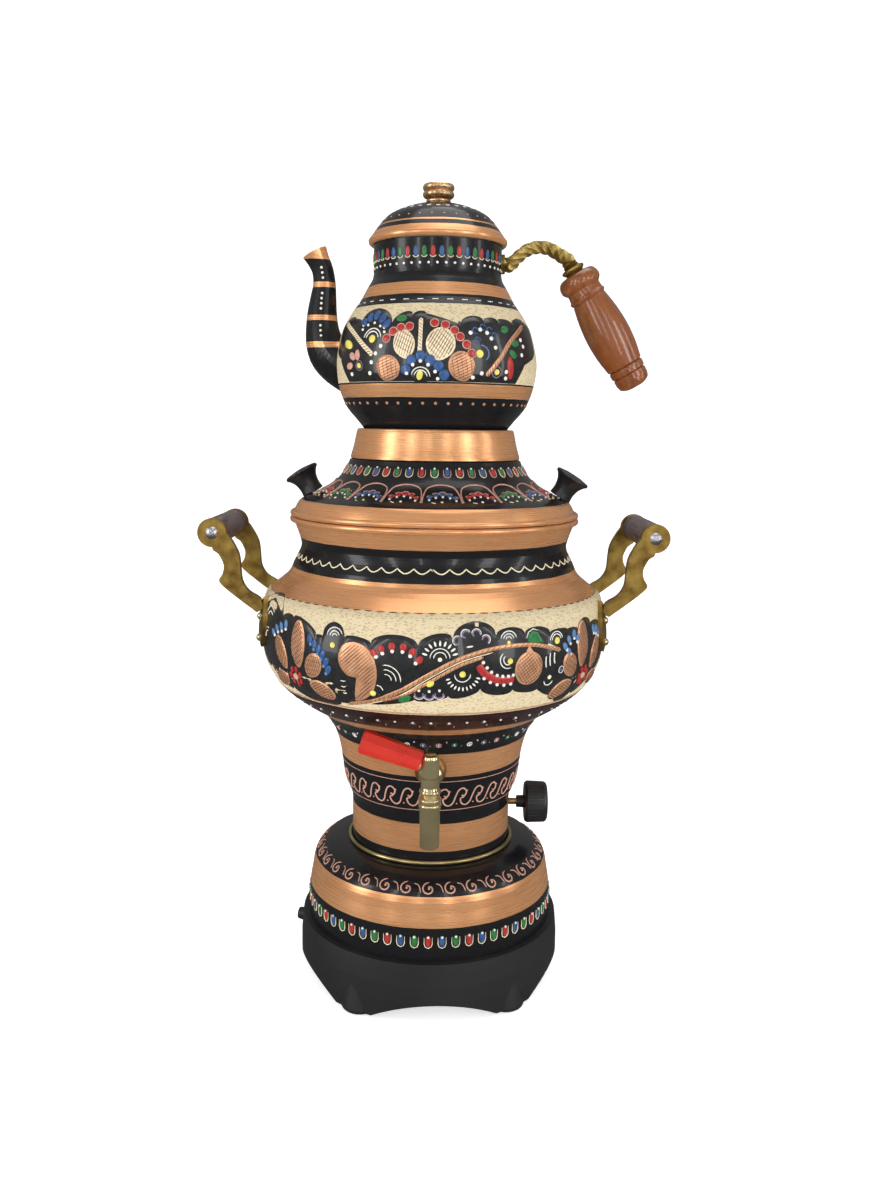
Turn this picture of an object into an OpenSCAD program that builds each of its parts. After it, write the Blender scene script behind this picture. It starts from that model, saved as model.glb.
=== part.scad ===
// Turkish electric samovar: an enamel-painted copper urn on a plastic base,
// with a tap, a thermostat, two roller handles and a teapot that stands in its lid.

/* [Base] */
// Outer radius of the plastic base at its top edge
base_r = 83; // [80:0.5:90]
// Height of the plastic base's top edge above the ground
base_top_z = 38.5; // [36:0.5:42]
// Number of feet
foot_count = 5; // [3:1:6]
// Radius of one foot near the ground
foot_r = 12; // [9:0.5:13]
// Radius of the circle that the feet stand on
foot_ring_r = 75.5; // [72:0.5:78]

/* [Urn] */
// Sheet thickness of the spun copper
sheet = 1.2; // [0.8:0.1:1.4]
// Height of the tank's floor above the ground
floor_z = 136; // [134:1:140]
// Height of the centre line of the thermostat shaft
dial_z = 110; // [106:1:114]
// Radius of the thermostat knob
dial_r = 13.6; // [10:0.2:15]

/* [Tap] */
// Distance from the urn's axis to the tap's axis
tap_reach = 92; // [90:1:96]
// Height of the tap's outlet above the ground
tap_outlet_z = 116; // [112:1:120]
// Rise of the tap's lever
lever_tilt = 19; // [10:1:25]

/* [Handles] */
// Distance from the urn's axis to each roller's axis
roller_x = 132; // [130:1:134]
// Height of the rollers' axes above the ground
roller_z = 288; // [286:1:290]
// Radius of a wooden roller
roller_r = 8.3; // [7:0.1:8.5]
// Half the length of a wooden roller
roller_half = 32; // [30:1:33]
// Thickness of a brass handle arm
arm_t = 5; // [4:0.5:6]

/* [Teapot] */
// Sheet thickness of the teapot
pot_sheet = 1.1; // [0.8:0.1:1.3]
// Slope of the wooden handle below level
grip_slope = 59; // [55:1:62]

/* [Hidden] */
$fn = 96;
gap = 0.3;
fit_gap = 0.1;
run_gap = 0.06;
nothing = 0.01;

// ---- curves -------------------------------------------------------------

// Point at u, from 0 to 1, on the smooth curve from b to c
function curve_point(a, b, c, d, u) = 0.5 * (2 * b + (c - a) * u
    + (2 * a - 5 * b + 4 * c - d) * u * u + (3 * b - a - 3 * c + d) * u * u * u);

// Smooth curve through all the points
function smooth_curve(pts, steps = 3) = let(last = len(pts) - 1) concat(
    [for (i = [0 : last - 1], k = [0 : steps - 1]) curve_point(
        pts[max(i - 1, 0)], pts[i], pts[i + 1], pts[min(i + 2, last)], k / steps)],
    [pts[last]]);

// The same outline moved inwards by t, for a wall of even thickness
function inset(pts, t) = let(last = len(pts) - 1) [for (i = [0 : last])
    let(d = pts[min(i + 1, last)] - pts[max(i - 1, 0)])
    pts[i] - t * [d[1], -d[0]] / norm(d)];

function reversed(pts) = [for (i = [len(pts) - 1 : -1 : 0]) pts[i]];

function arc(centre, r, from, to, steps = 8) = [for (i = [0 : steps])
    centre + r * [cos(from + (to - from) * i / steps), sin(from + (to - from) * i / steps)]];

module spun_wall(outer, t) {
    rotate_extrude() polygon(concat(outer, reversed(inset(outer, t))));
}

module ring(r, z, thick) {
    translate([0, 0, z]) rotate_extrude() translate([r, 0]) circle(thick, $fn = 32);
}

module tube(r_out, r_in, z_low, z_high) {
    translate([0, 0, z_low]) difference() {
        cylinder(r = r_out, h = z_high - z_low);
        translate([0, 0, -1]) cylinder(r = r_in, h = z_high - z_low + 2);
    }
}

// Puts its children at a distance r from the axis, with their Z pointing outwards
module outwards(angle, r, z) {
    rotate([0, 0, angle]) translate([r, 0, z]) rotate([0, 90, 0]) children();
}

// Closed tube of the given radius along a route in space that never runs straight along Y
function unit(v) = v / norm(v);
module swept(route, radii, sides = 8, twist = 0, phase = 0) {
    last = len(route) - 1;
    points = [for (i = [0 : last])
        let(dir = unit(route[min(i + 1, last)] - route[max(i - 1, 0)]),
            a = unit(cross(dir, [0, 1, 0])), b = cross(dir, a), r = radii[min(i, len(radii) - 1)])
        for (k = [0 : sides - 1])
            let(t = phase + k * 360 / sides + twist * i / last) route[i] + r * (cos(t) * a + sin(t) * b)];
    faces = concat(
        [[for (k = [0 : sides - 1]) k]],
        [for (i = [0 : last - 1], k = [0 : sides - 1]) let(n = (k + 1) % sides)
            [i * sides + k, (i + 1) * sides + k, (i + 1) * sides + n]],
        [for (i = [0 : last - 1], k = [0 : sides - 1]) let(n = (k + 1) % sides)
            [i * sides + k, (i + 1) * sides + n, i * sides + n]],
        [[for (k = [sides - 1 : -1 : 0]) last * sides + k]]);
    polyhedron(points, faces);
}

// ---- outlines of the spun shells ---------------------------------------

base_shell_outline = concat([[79, 33.2], [79, 50]], smooth_curve([[79, 53], [78.3, 60], [76.9, 68],
    [75.4, 76], [72, 81.4], [66, 84.8], [59, 86.7], [53, 87.4]]), [[44, 87.4]]);

waist_foot_z = 87.5;
urn_outline = concat([[45, waist_foot_z], [50.9, waist_foot_z], [50.9, 108]], smooth_curve([[50.9, 112],
    [51.3, 118], [53.6, 124], [55.6, 130], [57.3, 140], [58.6, 149], [60.9, 158], [64.5, 166.4],
    [71.3, 175], [83.5, 183], [95.7, 192.7], [102.1, 201.7], [106, 210.5], [107.8, 224], [107.3, 233],
    [106.2, 244], [104.6, 250], [99.6, 254.2], [90.8, 261.7], [87.2, 269], [84, 275], [82.7, 280],
    [84.2, 286], [86, 291], [87.2, 294.4]]));
urn_inside = inset(urn_outline, sheet);

lid_outline = concat(smooth_curve([[87.6, 299.4], [85.9, 303], [83.8, 306.4], [80, 308.4],
    [74.8, 310.4], [69.5, 313.2], [64.8, 316], [61, 319.2], [57.4, 323.3], [54.4, 328], [52.8, 331.6]]),
    [[51.4, 332.4], [40, 332.4]]);

pot_outline = concat([[0, 341.6]], [[37, 341.6]], smooth_curve([[38.6, 342], [40, 343.6], [42, 347],
    [45, 351.5], [48.4, 355.7], [52.6, 360.5], [55.8, 365.4], [59.4, 375], [61.2, 386], [60.8, 394],
    [58.7, 403.3], [56.2, 410.8], [51, 419.6], [47.2, 424.6], [42.1, 433.7], [39.4, 438.2],
    [38.5, 442]]), [[38.5, 458.2]]);

pot_lid_outline = smooth_curve([[40.4, 463], [38, 466.4], [33.6, 472], [29.2, 476], [21, 479.8],
    [12, 482.4], [6, 483.2], [3, 483.2]]);

// ---- base --------------------------------------------------------------

foot_first = -90 - 33;
foot_step = 360 / foot_count;
shelf_z = 30;
shelf_t = 3;
arch_top = 13;
arch_r = 71;
gland_angle = 163;
gland_z = 16;
gland_r = 3.8;
plate_z = 28.4;
screw_ring_r = 74;
lead_hole = [-52, 17];
screw_angles = [for (i = [0 : 2]) foot_first + (2 * i + 0.5) * foot_step];

module foot() {
    rotate_extrude() polygon(concat([[0, 0]], arc([foot_r - 3.5, 3.5], 3.5, -90, 0),
        [[5.5, 34], [0, 34]]));
}

module plastic_base() color("#202022") difference() {
    union() {
        rotate_extrude() polygon([[80.4, 2], [84, 2], [84.4, 14], [84.3, 25], [83.6, 33],
            [base_r, base_top_z], [79 + fit_gap, base_top_z], [79 + fit_gap, shelf_z + shelf_t],
            [71.5, shelf_z + shelf_t], [71.5, shelf_z], [80.4, shelf_z]]);
        for (i = [0 : foot_count - 1])
            rotate([0, 0, foot_first + i * foot_step]) translate([foot_ring_r, 0, 0]) foot();
    }
    for (i = [0 : foot_count - 1])
        outwards(foot_first + (i + 0.5) * foot_step, 60, arch_top - arch_r) cylinder(r = arch_r, h = 40);
    translate([0, 0, plate_z - 1]) cylinder(r = 78 + fit_gap, h = shelf_z - plate_z + 1);
    tube(78.9, 71.5, shelf_z + shelf_t, base_top_z);
    outwards(gland_angle, 50, gland_z) cylinder(r = gland_r + fit_gap, h = 50);
    for (a = screw_angles) rotate([0, 0, a]) translate([screw_ring_r, 0, 20])
        cylinder(r = 1.4, h = 14);
}

module base_plate() color("#8a8c8e") difference() {
    translate([0, 0, plate_z]) cylinder(r = 78, h = shelf_z - plate_z - fit_gap);
    translate([0, 0, plate_z - 1]) cylinder(r = 3.2, h = 4);
    translate([lead_hole[0], lead_hole[1], plate_z - 1]) cylinder(r = 9, h = 4);
    for (a = screw_angles) rotate([0, 0, a]) translate([screw_ring_r, 0, plate_z - 1])
        cylinder(r = 1.9, h = 4);
    for (i = [0 : foot_count - 1]) rotate([0, 0, foot_first + i * foot_step])
        translate([foot_ring_r, 0, 0]) cylinder(r = 9, h = 50);
}

module base_screws() color("#b8babc") for (a = screw_angles)
    rotate([0, 0, a]) translate([screw_ring_r, 0, 0]) difference() {
        union() {
            translate([0, 0, plate_z - 2]) cylinder(r = 3.2, h = 1.9);
            translate([0, 0, plate_z - 1]) cylinder(r = 1.35, h = 5);
        }
        translate([0, 0, plate_z - 1.6]) for (q = [0, 90]) rotate([0, 0, q])
            cube([3.6, 0.8, 1.6], center = true);
    }

module cord_gland() color("#18181a") outwards(gland_angle, 0, gland_z) difference() {
    union() {
        translate([0, 0, 62]) cylinder(r = gland_r, h = 26);
        translate([0, 0, 86.2]) cylinder(r = 5.2, h = 2.4);
        translate([0, 0, 88.5]) cylinder(r1 = 4.8, r2 = 3.9, h = 6);
    }
    translate([0, 0, 60]) cylinder(r = 2.8, h = 40);
}

block_at = [-30, 20, 30.4];
module terminal_block() color("#e8e4d8") translate(block_at) difference() {
    translate([-8, -14, 0]) cube([16, 28, 13]);
    for (y = [-9, 0, 9]) {
        translate([-9, y, 4.5]) rotate([0, 90, 0]) cylinder(r = 1.8, h = 18);
        translate([0, y, 8]) cylinder(r = 2.4, h = 6);
    }
}

// Routes of the leads inside the base, from the gland and from the block
lead_r = 1.1;
module lead(route) {
    swept(smooth_curve(route, 5), [lead_r]);
}
module supply_leads() color("#5a3a20") {
    lead([[-61.6, 17.5, 16], [-58.7, 16.6, 16], [-54, 15, 24], [-50, 12.5, 31], [-45, 11.2, 34.6], [-39, 11, 34.9]]);
    lead([[-60.8, 19.95, 16], [-57.9, 19.1, 16], [-53.5, 21, 26], [-50, 20.4, 31], [-45, 20, 34.4], [-39, 20, 34.9]]);
}
module heater_leads() color("#a03020") {
    lead([[-21, 11, 34.9], [-14, 10, 37], [-8, 12, 50], [-8, 22, 80], [-11, 32, 108], [-12, 34, 121]]);
    lead([[-21, 20, 34.9], [-12, 20, 38], [0, 16, 50], [16, 8, 70], [30, 5, 84], [33.5, 4, 89.6], [33.5, 4, 92.5]]);
}

module base_shell() color("#c98454") difference() {
    spun_wall(base_shell_outline, sheet);
    translate([0, 0, 80]) cylinder(r = 43, h = 10);
}

module waist_bead() color("#b99a4a") ring(52.4, 88.9, 1.3);

// ---- urn ---------------------------------------------------------------

tap_angle = -90;
shank_z = 151;
shank_r = 5;
rivet_r = 1.5;
arm_y = roller_half + gap;
arm_angle = asin((arm_y + arm_t / 2) / 106.5);
arm_angles = [arm_angle, -arm_angle, 180 - arm_angle, 180 + arm_angle];
rivet_heights = [225, 238];
element_r = 34;
element_tube = 4;
leg_r = 3.6;
leg_angle = 70;
leg_angles = [leg_angle, 180 - leg_angle];
element_z = 154;

module urn_cavity(clear = 0) {
    rotate_extrude() polygon(concat([[0, waist_foot_z + sheet]],
        [for (p = inset(urn_outline, sheet + clear)) if (p[1] > waist_foot_z + sheet + 1) p],
        [[0, urn_inside[len(urn_inside) - 1][1]]]));
}

// The urn is two spun pieces, soldered together under the belly
seam_z = 181;
module waist_shell() color("#c98454") difference() {
    spun_wall(urn_outline, sheet);
    translate([0, 0, seam_z]) cylinder(r = 120, h = 130);
    translate([0, 0, waist_foot_z - 1]) cylinder(r = 45, h = 4);
    outwards(tap_angle, 50, shank_z) cylinder(r = shank_r + fit_gap, h = 20);
    outwards(0, 44, dial_z) cylinder(r = 3, h = 12);
}

module body_shell() color("#c98454") {
    difference() {
        spun_wall(urn_outline, sheet);
        translate([0, 0, 80]) cylinder(r = 120, h = seam_z + 2 * nothing - 80);
        for (a = arm_angles, z = rivet_heights)
            outwards(a, 100, z) cylinder(r = rivet_r + nothing, h = 20);
    }
    ring(88, 295.3, 1.7);
}

module tank_floor() color("#b9bcbe") difference() {
    intersection() {
        urn_cavity(fit_gap);
        translate([0, 0, 128]) cylinder(r = 70, h = floor_z + sheet - 128);
    }
    intersection() {
        urn_cavity(fit_gap + sheet);
        translate([0, 0, 120]) cylinder(r = 70, h = floor_z - 120);
    }
    for (a = leg_angles) rotate([0, 0, a]) translate([element_r, 0, 130]) cylinder(r = 5.1, h = 10);
}

module leg_places() {
    for (a = leg_angles) rotate([0, 0, a]) translate([element_r, 0, 0]) children();
}

module heating_element() color("#9a9c9e") {
    end_angle = leg_angle + 7;
    difference() {
        ring(element_r, element_z, element_tube);
        linear_extrude(200) polygon([[0, 0], 60 * [cos(end_angle), sin(end_angle)],
            60 * [-cos(end_angle), sin(end_angle)]]);
    }
    leg_places() {
        translate([0, 0, 124]) cylinder(r = leg_r, h = element_z - 124);
        translate([0, 0, floor_z + sheet + 1.6]) cylinder(r = 7, h = 2);
        translate([0, 0, 122.2]) cylinder(r = 1.5, h = 3);
    }
}

module heater_seals() color("#8c3a2a") leg_places()
    tube(6.6, leg_r + nothing, floor_z + sheet + nothing, floor_z + sheet + 1.6);

module heater_nuts() color("#b99a4a") leg_places() translate([0, 0, 131.4]) difference() {
    cylinder(r = 8, h = 4.4, $fn = 6);
    translate([0, 0, -1]) cylinder(r = leg_r + nothing, h = 7);
}

shaft_r = 2.1;
module thermostat() color("#d8d2c0") {
    difference() {
        union() {
            translate([18, -14, dial_z - 14]) cube([24, 28, 28]);
            translate([42 - nothing, -8, dial_z - 8]) cube([2, 16, 16]);
            translate([43, 0, dial_z]) rotate([0, 90, 0]) cylinder(r = 4.6, h = 5.4);
        }
        translate([26, 0, dial_z]) rotate([0, 90, 0]) cylinder(r = shaft_r + run_gap, h = 30);
    }
    for (y = [-4, 4]) translate([31, y - 0.4, dial_z - 17.4]) cube([5, 0.8, 4]);
}

bulb_y = -24;
module thermostat_bulb() color("#b87333") translate([-14, bulb_y, floor_z - 4.2])
    rotate([0, 90, 0]) cylinder(r = 3, h = 34);

module capillary_tube() color("#b87333")
    swept(smooth_curve([[20.2, bulb_y, floor_z - 4.2], [23.4, -22, floor_z - 4.4],
        [25.6, -18, floor_z - 6.2], [27.2, -13.4, floor_z - 7.8], [28, -10.6, floor_z - 9.8],
        [28.1, -10, 124.06]], 4), [0.9]);

module tie_rod() color("#a8aaac") {
    translate([0, 0, 20]) cylinder(r = 3, h = floor_z - 20);
    translate([0, 0, floor_z - 3]) cylinder(r = 9, h = 3);
}

module tie_nut() color("#a8aaac") {
    translate([0, 0, plate_z - 1.4]) tube(9, 3 + nothing, 0, 1.3);
    translate([0, 0, plate_z - 6.4]) difference() {
        cylinder(r = 5.8, h = 5, $fn = 6);
        translate([0, 0, -1]) cylinder(r = 3 + nothing, h = 7);
    }
}

// ---- tap ---------------------------------------------------------------

plug_r = 3.6;
plug_foot_z = 140;
socket_top_z = 157.4;
pin_z = 155;
module tap_body() color("#b09648") difference() {
    union() {
        translate([0, -tap_reach, 0]) {
            rotate_extrude() polygon(concat([[0, tap_outlet_z], [5.3, tap_outlet_z], [5.6, tap_outlet_z + 1]],
                [[5.9, 138], [6.3, 139.5]], arc([5.4, 141.4], 1.3, -50, 60), arc([5.4, 144.6], 1.3, -60, 60),
                [[4.9, 146.8]], arc([4.6, 149.2], 1.7, -60, 60), [[5.2, 152], [5.2, socket_top_z], [0, socket_top_z]]));
        }
        outwards(tap_angle, 49, shank_z) cylinder(r = shank_r, h = tap_reach - 49 - 2);
        outwards(tap_angle, 70, shank_z) rotate_extrude()
            polygon(concat([[0, 0]], [[5.6, 0]], arc([5.8, 2], 1.2, -70, 70), [[5.1, 4.2], [0, 4.2]]));
    }
    translate([0, -tap_reach, tap_outlet_z - 1]) cylinder(r = 3.4, h = 30);
    translate([0, -tap_reach, plug_foot_z]) cylinder(r = plug_r + run_gap, h = 30);
    outwards(tap_angle, 40, shank_z) cylinder(r = 2.8, h = tap_reach - 40);
    translate([0, -tap_reach + 2, pin_z]) rotate([-90, 0, 0]) cylinder(r = 0.9, h = 5);
}

escutcheon_x = 60.6;
module tap_escutcheon() color("#a5783c") difference() {
    outwards(tap_angle, escutcheon_x, shank_z) rotate_extrude()
        polygon([[shank_r + fit_gap, -3], [shank_r + fit_gap, 4.4], [7, 4.2], [8.6, 2.8], [9.4, 1], [9.4, -3]]);
    rotate_extrude() polygon(concat([[0, 100]], [for (p = inset(urn_outline, -fit_gap))
        if (p[1] > 100 && p[1] < 190) p], [[0, 190]]));
}

module tap_seal() color("#303030") outwards(tap_angle, 56.6, shank_z)
    tube(8, shank_r + nothing, -1.4, -0.2);

module tap_nut() color("#b09648") outwards(tap_angle, 50.6, shank_z) difference() {
    cylinder(r = 8.4, h = 4.4, $fn = 6);
    translate([0, 0, -1]) cylinder(r = shank_r + nothing, h = 7);
}

module tap_stop_pin() color("#a8aaac") translate([0, -tap_reach + 3.1, pin_z]) rotate([-90, 0, 0])
    cylinder(r = 0.85, h = 3.2);

lever_z = 165;
module tap_plug() color("#b9a050") translate([0, -tap_reach, 0]) difference() {
    union() {
        translate([0, 0, plug_foot_z + 2]) cylinder(r = plug_r, h = socket_top_z - plug_foot_z);
        translate([0, 0, socket_top_z + gap]) rotate_extrude() polygon(concat([[0, 0], [5, 0], [5.2, 0.6]],
            [[5.2, 11], [4.6, 12.4], [3, 13.2], [0, 13.4]]));
    }
    translate([0, 0, plug_foot_z]) cylinder(r = 2.4, h = 13.6);
    translate([0, 0, shank_z]) rotate([0, 90, 0]) cylinder(r = 2.4, h = 10);
    translate([0, 0, pin_z]) tube(8, 2.9, -1, 1);
    translate([0, 0, lever_z]) rotate([0, -90 + lever_tilt, 0]) cylinder(r = 1.6, h = 10);
}

module lever_rod() color("#a8aaac") translate([0, -tap_reach, lever_z])
    rotate([0, -90 + lever_tilt, 0]) cylinder(r = 1.6 - nothing, h = 38);

module lever_sleeve() color("#d0230f") translate([0, -tap_reach, lever_z])
    rotate([0, -90 + lever_tilt, 0]) difference() {
        rotate([0, 0, 22.5]) translate([0, 0, 5.8]) {
            cylinder(r1 = 5.9, r2 = 7.2, h = 34, $fn = 8);
            translate([0, 0, 34]) cylinder(r1 = 7.2, r2 = 5.6, h = 1.4, $fn = 8);
        }
        translate([0, 0, 1]) cylinder(r = 1.6, h = 37.2);
    }

// ---- thermostat knob ---------------------------------------------------

module thermostat_shaft() color("#a5803c") translate([28, 0, dial_z]) rotate([0, 90, 0])
    cylinder(r = shaft_r, h = 38);

dial_from = 61.5;
dial_to = 76;
ribs = 36;
module thermostat_dial() color("#1c1c1e") translate([0, 0, dial_z]) rotate([0, 90, 0]) difference() {
    rotate_extrude() polygon(concat([[0, 56.2], [3.9, 56.2], [4.1, dial_from], [dial_r - 1.2, dial_from],
        [dial_r, dial_from + 1.4], [dial_r - 0.4, dial_to - 3]], arc([dial_r - 3, dial_to - 2.6], 2.6, 0, 90),
        [[0, dial_to - 0.4]]));
    translate([0, 0, 50]) cylinder(r = shaft_r + nothing, h = 16.2);
    for (i = [0 : ribs - 1]) rotate([0, 0, i * 360 / ribs])
        translate([dial_r + 0.25, 0, dial_from + 2]) cylinder(r = 0.7, h = 20, $fn = 16);
}

// ---- side handles ------------------------------------------------------

arm_outline = smooth_curve([[125.6, 293.8], [132, 279.6], [128.2, 275.4], [125.2, 269], [126, 263.6],
    [128.2, 259.6], [125.4, 255.6], [116, 248], [109, 242.8], [105.6, 240.6], [102.4, 243.6],
    [104, 249], [110.8, 253.4], [114.6, 259.6], [115.4, 268], [116.4, 275.6], [120, 283], [124, 289],
    [125.6, 293.8]]);
leaf_top = 250;
leaf_foot = 219;
leaf_half = 7;
module foot_leaf(angle) {
    leaf_mid = (leaf_top + leaf_foot) / 2;
    leaf_len = (leaf_top - leaf_foot) / 2;
    bow = (leaf_len * leaf_len - leaf_half * leaf_half) / (2 * leaf_half);
    skin = [for (p = urn_outline) if (p[1] > 212 && p[1] < 251.5) p];
    intersection() {
        rotate_extrude() polygon(concat(inset(skin, -fit_gap), reversed(inset(skin, -2.6))));
        outwards(angle, 95, leaf_mid) linear_extrude(25) intersection() {
            translate([0, bow]) circle(bow + leaf_half);
            translate([0, -bow]) circle(bow + leaf_half);
        }
    }
}
// side is 1 for +X and -1 for -X; row is 1 for the back arm and -1 for the front arm
module arm(side, row) {
    y_low = row > 0 ? arm_y : -arm_y - arm_t;
    angle = side > 0 ? row * arm_angle : 180 - row * arm_angle;
    color("#a8883a") difference() {
        union() {
            mirror([side > 0 ? 0 : 1, 0, 0]) difference() {
                translate([0, y_low + arm_t, 0]) rotate([90, 0, 0]) linear_extrude(arm_t) {
                    polygon(arm_outline);
                    translate([roller_x, roller_z]) circle(8.6);
                }
                rotate_extrude() polygon(concat([[0, 200]],
                    [for (p = inset(urn_outline, -1.2)) if (p[1] > 200 && p[1] < 256) p], [[0, 256]]));
            }
            foot_leaf(angle);
        }
        translate([side * roller_x, -60, roller_z]) rotate([-90, 0, 0]) cylinder(r = 2.1 + nothing, h = 120);
        for (z = rivet_heights) outwards(angle, 100, z) cylinder(r = rivet_r + nothing, h = 20);
        rotate_extrude() polygon(concat([[0, 200]],
            [for (p = inset(urn_outline, -fit_gap)) if (p[1] > 200 && p[1] < 256) p], [[0, 256]]));
    }
}
module left_front_arm() arm(-1, -1);
module left_back_arm() arm(-1, 1);
module right_front_arm() arm(1, -1);
module right_back_arm() arm(1, 1);

rivet_seats = [110.5, 109.8];
module arm_rivets() color("#c8a850") for (a = arm_angles, i = [0, 1])
    outwards(a, 0, rivet_heights[i]) rotate_extrude() polygon(concat([[0, 104.4], [2.6, 104.4],
        [2.6, 105.2], [rivet_r, 105.3], [rivet_r, rivet_seats[i]]], arc([0, rivet_seats[i] - 0.35], 2.5, 8, 90)));

module roller(side) color("#4a3028") translate([side * roller_x, 0, roller_z]) rotate([90, 0, 0])
    rotate_extrude() polygon(concat([[2.2, -roller_half], [roller_r - 0.8, -roller_half]],
        [for (z = [-28, -22, 22, 28], p = [[roller_r, z - 1.4], [roller_r - 0.9, z - 0.5],
            [roller_r - 0.9, z + 0.5], [roller_r, z + 1.4]]) p],
        [[roller_r - 0.8, roller_half], [2.2, roller_half]]));
module left_roller() roller(-1);
module right_roller() roller(1);

bolt_end = arm_y + arm_t;
module roller_bolts() color("#c0c2c4") for (side = [-1, 1])
    translate([side * roller_x, 0, roller_z]) rotate([90, 0, 0]) difference() {
        union() {
            translate([0, 0, -bolt_end - 4]) cylinder(r = 2.1, h = 2 * bolt_end + 5);
            translate([0, 0, bolt_end]) rotate_extrude() polygon(concat([[0, 0], [3.8, 0]],
                arc([0, -2.6], 4.6, 34, 90)));
        }
        for (q = [45, 135]) rotate([0, 0, q]) translate([-1.8, -0.4, bolt_end + 0.7]) cube([3.6, 0.8, 3]);
    }

module roller_nuts() color("#c0c2c4") for (side = [-1, 1])
    translate([side * roller_x, bolt_end + 0.02, roller_z]) rotate([-90, 0, 0]) difference() {
        union() {
            cylinder(r = 4.4, h = 3, $fn = 6);
            translate([0, 0, 3 - nothing]) rotate_extrude() polygon(concat([[0, 0]], arc([0, 0], 3.6, 0, 90)));
        }
        translate([0, 0, -1]) cylinder(r = 2.1 + nothing, h = 5.4);
    }

// ---- lid ---------------------------------------------------------------

lid_t = 1;
knob_turn = -7;
knob_tilt = 32;
knob_foot = [77.4, 0, 309.9];
module lid_shell() color("#c98454") {
    difference() {
        spun_wall(lid_outline, lid_t);
        for (a = [knob_turn, 180 + knob_turn]) rotate([0, 0, a]) translate(knob_foot)
            rotate([0, knob_tilt, 0]) translate([0, 0, -6]) cylinder(r = 1.9, h = 12);
    }
    ring(87.9, 298.9, 1.6);
}

flange_r = 80;
module lid_flange() color("#b9bcbe") rotate_extrude()
    polygon([[flange_r - 1, 287], [flange_r, 287], [flange_r, 306.9], [flange_r - 1, 307.3]]);

collar_outline = concat([[52.2, 332.6]], smooth_curve([[52.2, 334], [50.3, 340.5], [48.8, 347.6],
    [48.2, 349.4]]));
module lid_collar() color("#c98454") {
    spun_wall(collar_outline, 1.3);
    ring(47.2, 349.3, 1.1);
}

seat_z = 340;
module teapot_seat() color("#b9bcbe") difference() {
    union() {
        tube(48.6, 36, seat_z, seat_z + 1.3);
        tube(48.6, 47.4, 334, seat_z + 0.2);
    }
    rotate_extrude() polygon([[48.7, 338], [60, 330], [60, 345], [48.7, 345]]);
}

module lid_knob() color("#1a1a1c") difference() {
    rotate_extrude() polygon(concat([[0, 0.4], [6.9, 0.4]], smooth_curve([[6.9, 1], [6.6, 5], [7.6, 9.6],
        [9.8, 13]]), arc([9.7, 14.4], 1.3, -40, 90, 6), [[5, 16.4], [0, 16.6]]));
    translate([0, 0, -1]) cylinder(r = 1.8 + nothing, h = 11);
}
module at_knob(angle) {
    rotate([0, 0, angle]) translate(knob_foot) rotate([0, knob_tilt, 0]) children();
}
module right_lid_knob() at_knob(knob_turn) lid_knob();
module left_lid_knob() at_knob(180 + knob_turn) lid_knob();
module lid_knob_screws() color("#c0c2c4") for (a = [knob_turn, 180 + knob_turn]) at_knob(a) {
    translate([0, 0, -3]) cylinder(r = 1.8, h = 12);
    translate([0, 0, -4.6]) cylinder(r = 3.4, h = 1.9);
}

// ---- teapot ------------------------------------------------------------

spout_route = [[-52, 0, 386], [-59, 0, 390], [-65, 0, 395], [-68.4, 0, 401.6], [-69.8, 0, 410],
    [-69.8, 0, 419], [-69, 0, 428], [-68.4, 0, 436], [-69.4, 0, 444], [-72, 0, 450], [-74.2, 0, 454.4]];
spout_radii = [15, 14.4, 13.2, 11.6, 10.1, 9, 7.9, 6.9, 6.5, 6.8, 7.8];
spout_steps = 3;
function radius_curve(radii) = [for (p = smooth_curve([for (i = [0 : len(radii) - 1]) [radii[i], i]],
    spout_steps)) p[0]];

module pot_solid(clear) {
    rotate_extrude() polygon(concat([[0, 350]], [for (p = inset(pot_outline, -clear))
        if (p[1] > 350 && p[1] < 436) p], [[0, 436]]));
}

module teapot_body() color("#2a2420") difference() {
    spun_wall(pot_outline, pot_sheet);
    for (z = [382, 388, 394], y = [-6, 0, 6]) translate([-70, y, z]) rotate([0, 90, 0])
        cylinder(r = 1.6, h = 20);
    for (a = rivet_pair) outwards(a, 30, rivet_level) cylinder(r = 1.2 + nothing, h = 12);
}

module teapot_spout() color("#2a2420") difference() {
    swept(smooth_curve(spout_route, spout_steps), radius_curve(spout_radii), 24);
    swept(smooth_curve(concat([[-44, 0, 382]], [for (i = [1 : 10]) spout_route[i]], [[-76.2, 0, 458.2]]),
        spout_steps), [for (r = radius_curve(concat(spout_radii, [8.8]))) r - 1.1], 24);
    pot_solid(fit_gap);
}

neck_r = 38.5;
rivet_pair = [-10, 10];
rivet_level = 449;
pad_out = neck_r + 2;
module handle_pad() color("#a8883a") difference() {
    intersection() {
        tube(pad_out, neck_r + fit_gap, 443.4, 454.6);
        translate([50, 0, rivet_level]) rotate([0, -90, 0]) scale([0.6, 1, 1]) cylinder(r = 9.4, h = 20);
    }
    for (a = rivet_pair) outwards(a, 30, rivet_level) cylinder(r = 1.2 + nothing, h = 14);
}

module pad_rivets() color("#c8a850") for (a = rivet_pair) outwards(a, 0, rivet_level) rotate_extrude()
    polygon(concat([[0, 36.5], [2.2, 36.5], [2.2, 37.2], [1.2, 37.3], [1.2, pad_out + 0.05]],
        arc([0, pad_out - 0.15], 1.7, 8, 90)));

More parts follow.
